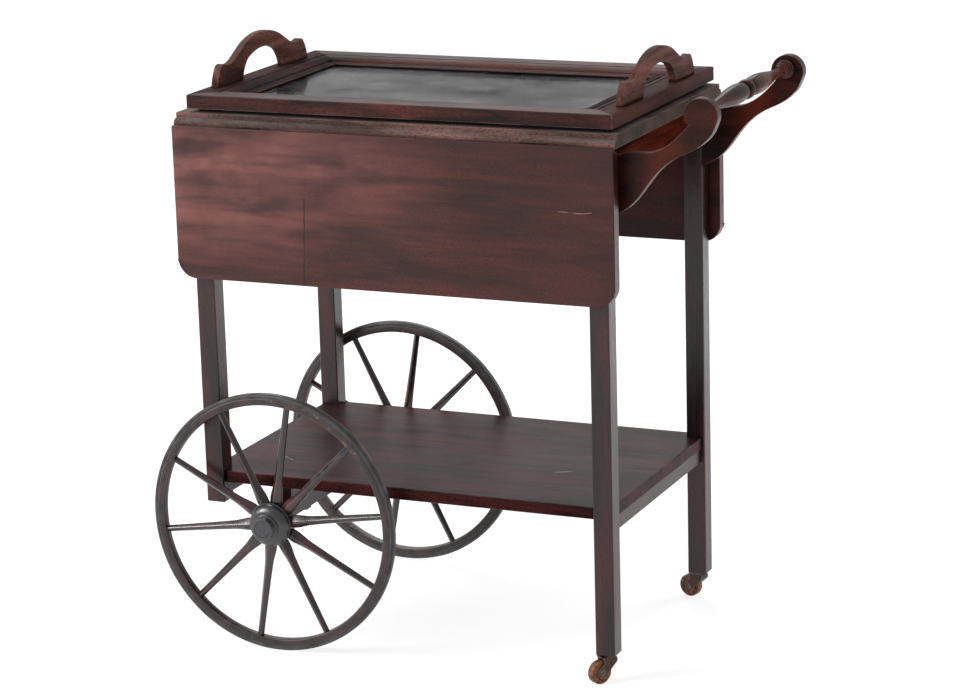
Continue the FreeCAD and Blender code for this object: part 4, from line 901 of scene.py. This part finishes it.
cap_stations = [(31.5, 10.6), (34.0, 10.6), (34.35, 10.2), (34.35, 8.6), (34.1, 8.3), (34.1, 8.0)]
cap_stations += [(34.4, 7.7), (34.45, 4.2), (34.2, 3.9), (34.45, 3.6), (34.48, 0.6)]
near_cap = turned("wheel_near_cap_turned", cap_stations, NEAR_WHEEL, OUTWARD, 72)
finish_pair(near_cap, hub_paint, "wheel_wood", "cap")

# %% [markdown]
# ## The spokes
# A wheelwright leaves a spoke square where it enters the hub, set on its corner, and shaves it round
# towards the rim. A four-sided disc is extruded along the spoke. One bevel of the same width all the
# way takes little off the thick root and nearly everything off the thin tip.


# %% One spoke, then ten
SPOKES = 10
FIRST_SPOKE = 9.5
SHAVED_OFF = 2.6 * mm


def shaved_spoke():
    """One spoke along Z, through sections of distance, width and depth in millimetres."""
    sections = (
        (26, 17.4, 16.9), (30, 19.3, 16.9), (34, 20.0, 16.9), (39, 19.5, 16.6), (46, 17.3, 15.9),
        (53, 15.3, 14.8), (60, 14.3, 13.8), (75, 13.4, 13.0), (110, 12.1, 12.0), (140, 11.2, 11.1),
        (163.4, 10.8, 10.8),
    )
    bpy.ops.object.select_all(action="DESELECT")
    bpy.ops.mesh.primitive_circle_add(vertices=4, radius=1 * mm, fill_type="NGON", location=(0, 0, 0))
    spoke = bpy.context.object
    edit(spoke, "FACE")
    last = (0, 2, 2)  # the disc before its first section: at the axle, 2 mm wide and deep
    for along, wide, deep in sections:
        if last[0] == 0:
            bpy.ops.transform.translate(value=(0, 0, along * mm))
        else:
            bpy.ops.mesh.extrude_region_move(TRANSFORM_OT_translate={"value": (0, 0, (along - last[0]) * mm)})
        growth = (wide / last[1], deep / last[2], 1)
        bpy.ops.transform.resize(value=growth, center_override=(0, 0, along * mm))
        last = (along, wide, deep)
    bpy.ops.mesh.select_all(action="SELECT")
    bpy.ops.mesh.remove_doubles(threshold=SAME_PLACE)
    bpy.ops.mesh.normals_make_consistent(inside=False)
    bpy.ops.mesh.select_mode(type="EDGE")
    bpy.ops.mesh.select_all(action="DESELECT")
    bpy.ops.object.mode_set(mode="OBJECT")
    places = spoke.data.vertices
    for line in spoke.data.edges:
        start, end = (places[index].co for index in line.vertices)
        line.select = abs(start.z - end.z) > 1 * mm
    bpy.ops.object.mode_set(mode="EDIT")
    bpy.ops.mesh.bevel(offset=SHAVED_OFF, segments=5, affect="EDGES", clamp_overlap=True)
    bpy.ops.object.mode_set(mode="OBJECT")
    return spoke


first_spoke = shaved_spoke()
spokes = []
for number in range(SPOKES):
    only(first_spoke)
    bpy.ops.object.duplicate()
    spoke = bpy.context.object
    spoke.rotation_euler = (0, math.radians(FIRST_SPOKE + 360 / SPOKES * number), 0)
    spoke.location = NEAR_WHEEL
    bpy.ops.object.transform_apply(location=True, rotation=True, scale=True)
    spokes.append(spoke)
only(first_spoke)
bpy.ops.object.delete()
only(spokes[0])
for spoke in spokes:
    spoke.select_set(True)
bpy.ops.object.join()
near_spokes = bpy.context.object
near_spokes.name = "wheel_near_spokes_shaved"
bpy.ops.object.shade_smooth_by_angle(angle=math.radians(50))
finish_pair(near_spokes, spoke_paint, "wheel_wood", "spokes")

# %% [markdown]
# ## Rims and tyres
# The rim is one bent strip with its ends joined, and the tyre is a strip of rubber round it. Both
# start as a flat section that is rounded at its corners and then swept round the axle by spin.


# %% A hoop swept round the axle
def hoop(name, width, low, high, shape_section):
    """A section between two radii, shaped by a function, swept round the near wheel's axle."""
    bpy.ops.object.select_all(action="DESELECT")
    bpy.ops.mesh.primitive_plane_add(
        size=1, rotation=(0, math.radians(90), 0), location=(0, 0, (low + high) / 2 * mm)
    )
    piece = bpy.context.object
    piece.name = name
    bpy.ops.object.transform_apply(location=True, rotation=True, scale=True)
    edit(piece)
    bpy.ops.transform.resize(
        value=(1, width * mm, (high - low) * mm), center_override=(0, 0, (low + high) / 2 * mm)
    )
    shape_section(piece)
    bpy.ops.mesh.select_mode(type="FACE")
    bpy.ops.mesh.select_all(action="SELECT")
    bpy.ops.mesh.delete(type="ONLY_FACE")
    bpy.ops.mesh.select_mode(type="EDGE")
    bpy.ops.mesh.select_all(action="SELECT")
    bpy.ops.mesh.spin(steps=180, angle=2 * math.pi, center=(0, 0, 0), axis=(0, 1, 0))
    bpy.ops.mesh.select_all(action="SELECT")
    bpy.ops.mesh.remove_doubles(threshold=1e-6)
    bpy.ops.mesh.normals_make_consistent(inside=False)
    bpy.ops.object.mode_set(mode="OBJECT")
    piece.location = NEAR_WHEEL
    bpy.ops.object.transform_apply(location=True, rotation=True, scale=True)
    bpy.ops.object.shade_smooth_by_angle(angle=SMOOTH_BELOW)
    return piece


# Heights in a section are distances from the axle, in millimetres.
RIM_INSIDE, RIM_OUTSIDE, TYRE_OUTSIDE = 162.4, 172.0, 178.0
TYRE_SIDE = 6.1 * mm


def rim_section(piece):
    """Well rounded corners on the inside of the rim, and small ones where the tyre sits."""
    pick_vertices(piece, lambda place: place.z < 165 * mm)
    bpy.ops.mesh.bevel(offset=3 * mm, segments=2, affect="VERTICES")
    pick_vertices(piece, lambda place: place.z > 170 * mm)
    bpy.ops.mesh.bevel(offset=0.8 * mm, segments=3, affect="VERTICES")


def tyre_section(piece):
    """A round tread, and a shallow groove down each side of the rubber."""
    pick_vertices(piece, lambda place: place.z > 176 * mm)
    bpy.ops.mesh.bevel(offset=3.5 * mm, segments=8, affect="VERTICES")
    pick_vertices(piece, lambda place: abs(place.y) > TYRE_SIDE and place.z < 174.8 * mm)
    bpy.ops.mesh.subdivide(number_cuts=4)
    pick_vertices(piece, lambda place: abs(place.y) > TYRE_SIDE and 173.2 * mm < place.z < 173.9 * mm)
    bpy.ops.transform.resize(value=(1, 0.88, 1), center_override=(0, 0, 173.5 * mm))


near_rim = hoop("wheel_near_rim_bent", 13.8, RIM_INSIDE, RIM_OUTSIDE, rim_section)
finish_pair(near_rim, rim_paint, "wheel_wood", "rim")
near_tyre = hoop("wheel_near_tyre_round", 12.4, RIM_OUTSIDE, TYRE_OUTSIDE, tyre_section)
finish_pair(near_tyre, rubber, "tyre_rubber", "tyre")

# %% [markdown]
# ## Caster wheels and pins
# The little wheels are turned from orange-brown wood, with ridges on the tread and a dished side. The
# pin is riveted over at each end, on a small round boss.

# %% Caster wheels and pins
side_half = [(5.2, 3.0), (5.2, 5.6), (4.5, 6.4), (4.3, 11.8), (4.9, 12.8), (5.2, 13.6)]
side_half += [(5.0, 14.8), (4.0, 15.6)]
tread = [(3.4, 15.6), (3.1, 15.1), (2.2, 15.1), (1.9, 15.6), (1.1, 15.6), (0.8, 15.1)]
wheel_stations = [(-along, radius) for along, radius in side_half + tread]
wheel_stations += [(along, radius) for along, radius in reversed(side_half + tread)]
pin_half = [(8.6, 0.9), (8.5, 1.7), (8.3, 2.1), (8.2, 3.1), (8.45, 3.5), (8.45, 4.5), (8.2, 4.9)]
pin_half += [(7.9, 4.9), (7.9, 1.5)]
pin_stations = [(-along, radius) for along, radius in pin_half] + list(reversed(pin_half))
for side, trail in (("near", 236), ("far", 168)):
    low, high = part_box(f"caster_{side}_wheel")
    middle = (low + high) / 2
    lie = (math.radians(-90), 0, math.radians(trail))
    wheel = turned(f"caster_{side}_wheel_turned", wheel_stations, middle, lie, 72)
    finish_piece(wheel, f"caster_{side}_wheel", caster_wood, "caster_wood", f"caster_{side}_wheel")
    pin = turned(f"caster_{side}_pin_riveted", pin_stations, middle, lie, 40)
    finish_piece(pin, f"caster_{side}", iron, "caster_iron", f"caster_{side}_pin")

# %% [markdown]
# ## Floor and light
# The floor is pale and plain. It keeps the trolley's shadow, and to the camera it also glows, so
# that it runs into the white behind it with no line. What the polish mirrors is held back: the white
# surround is dimmer on the near side, and one lamp shows in no reflection, so dark wood stays dark.


# %% Floor
WHITE = (1, 1, 1, 1)
FLOOR_COLOUR = (0.75, 0.75, 0.75, 1)
SEEN_FLOOR_COLOUR = (0.36, 0.36, 0.37, 1)


def seen_rays(tree):
    """The light path, and a mask of the rays by which something is seen, mirrored or seen through."""
    path = add(tree, "ShaderNodeLightPath")
    seen = sums(tree, "MAXIMUM", path.outputs["Is Camera Ray"], path.outputs["Is Glossy Ray"])
    return path, sums(tree, "MAXIMUM", seen, path.outputs["Is Transmission Ray"])


bpy.ops.object.select_all(action="DESELECT")
bpy.ops.mesh.primitive_plane_add(size=30)
floor = bpy.context.object
floor.name = "floor"
pale = bpy.data.materials.new("pale floor")
pale.use_nodes = True
tree = pale.node_tree
tree.nodes.clear()
_, seen = seen_rays(tree)
shade = add(tree, "ShaderNodeBsdfDiffuse", {"Color": FLOOR_COLOUR})
seen_shade = add(tree, "ShaderNodeBsdfDiffuse", {"Color": SEEN_FLOOR_COLOUR})
place = add(tree, "ShaderNodeTexCoord")
away = add(tree, "ShaderNodeVectorMath", {0: place.outputs["Object"]}, operation="LENGTH")
strength = share(tree, away.outputs["Value"], 1.0, 2.4, 0.79, 0.9)
glow = add(tree, "ShaderNodeEmission", {"Color": WHITE, "Strength": strength})
seen_floor = add(tree, "ShaderNodeAddShader", {0: seen_shade.outputs[0], 1: glow.outputs[0]})
both = add(tree, "ShaderNodeMixShader", {"Fac": seen, 1: shade.outputs[0], 2: seen_floor.outputs[0]})
add(tree, "ShaderNodeOutputMaterial", {"Surface": both.outputs[0]})
floor.data.materials.append(pale)

# %% White surround
SURROUND_LIGHT = 0.37
world = bpy.data.worlds.new("white surround")
bpy.context.scene.world = world
world.use_nodes = True
tree = world.node_tree
tree.nodes.clear()
path, seen = seen_rays(tree)
place = add(tree, "ShaderNodeTexCoord")
way = add(tree, "ShaderNodeSeparateXYZ", {"Vector": place.outputs["Generated"]})
dim_front = share(tree, way.outputs["Y"], -0.7, 0.4, 0.4, 1.0)
full = sums(tree, "MAXIMUM", path.outputs["Is Camera Ray"], path.outputs["Is Transmission Ray"])
level = sums(tree, "MAXIMUM", full, dim_front)
soft = add(tree, "ShaderNodeBackground", {"Color": WHITE, "Strength": SURROUND_LIGHT})
white = add(tree, "ShaderNodeBackground", {"Color": WHITE, "Strength": level})
both = add(tree, "ShaderNodeMixShader", {"Fac": seen, 1: soft.outputs[0], 2: white.outputs[0]})
add(tree, "ShaderNodeOutputWorld", {"Surface": both.outputs[0]})


# %% Lamps
def softbox(name, at, size, power, towards=(0, 0, 0.4), height=None, mirrored=True):
    """A lamp as large as a window, unseen by the camera."""
    bpy.ops.object.light_add(type="AREA", location=at)
    lamp = bpy.context.object
    lamp.name = name
    lamp.data.shape = "RECTANGLE"
    lamp.data.size = size
    lamp.data.size_y = height or size
    lamp.data.energy = power
    lamp.rotation_euler = (Vector(at) - Vector(towards)).to_track_quat("Z", "Y").to_euler()
    lamp.visible_camera = False
    lamp.visible_glossy = mirrored


softbox("window light", (-2.6, -2.4, 2.2), 1.5, 115)
softbox("high at the back", (-0.8, 2.0, 2.3), 1.8, 28)
softbox("far window", (1.25, 2.1, 0.48), 1.5, 46, height=0.95, mirrored=False)
bpy.context.scene.view_settings.view_transform = "Standard"
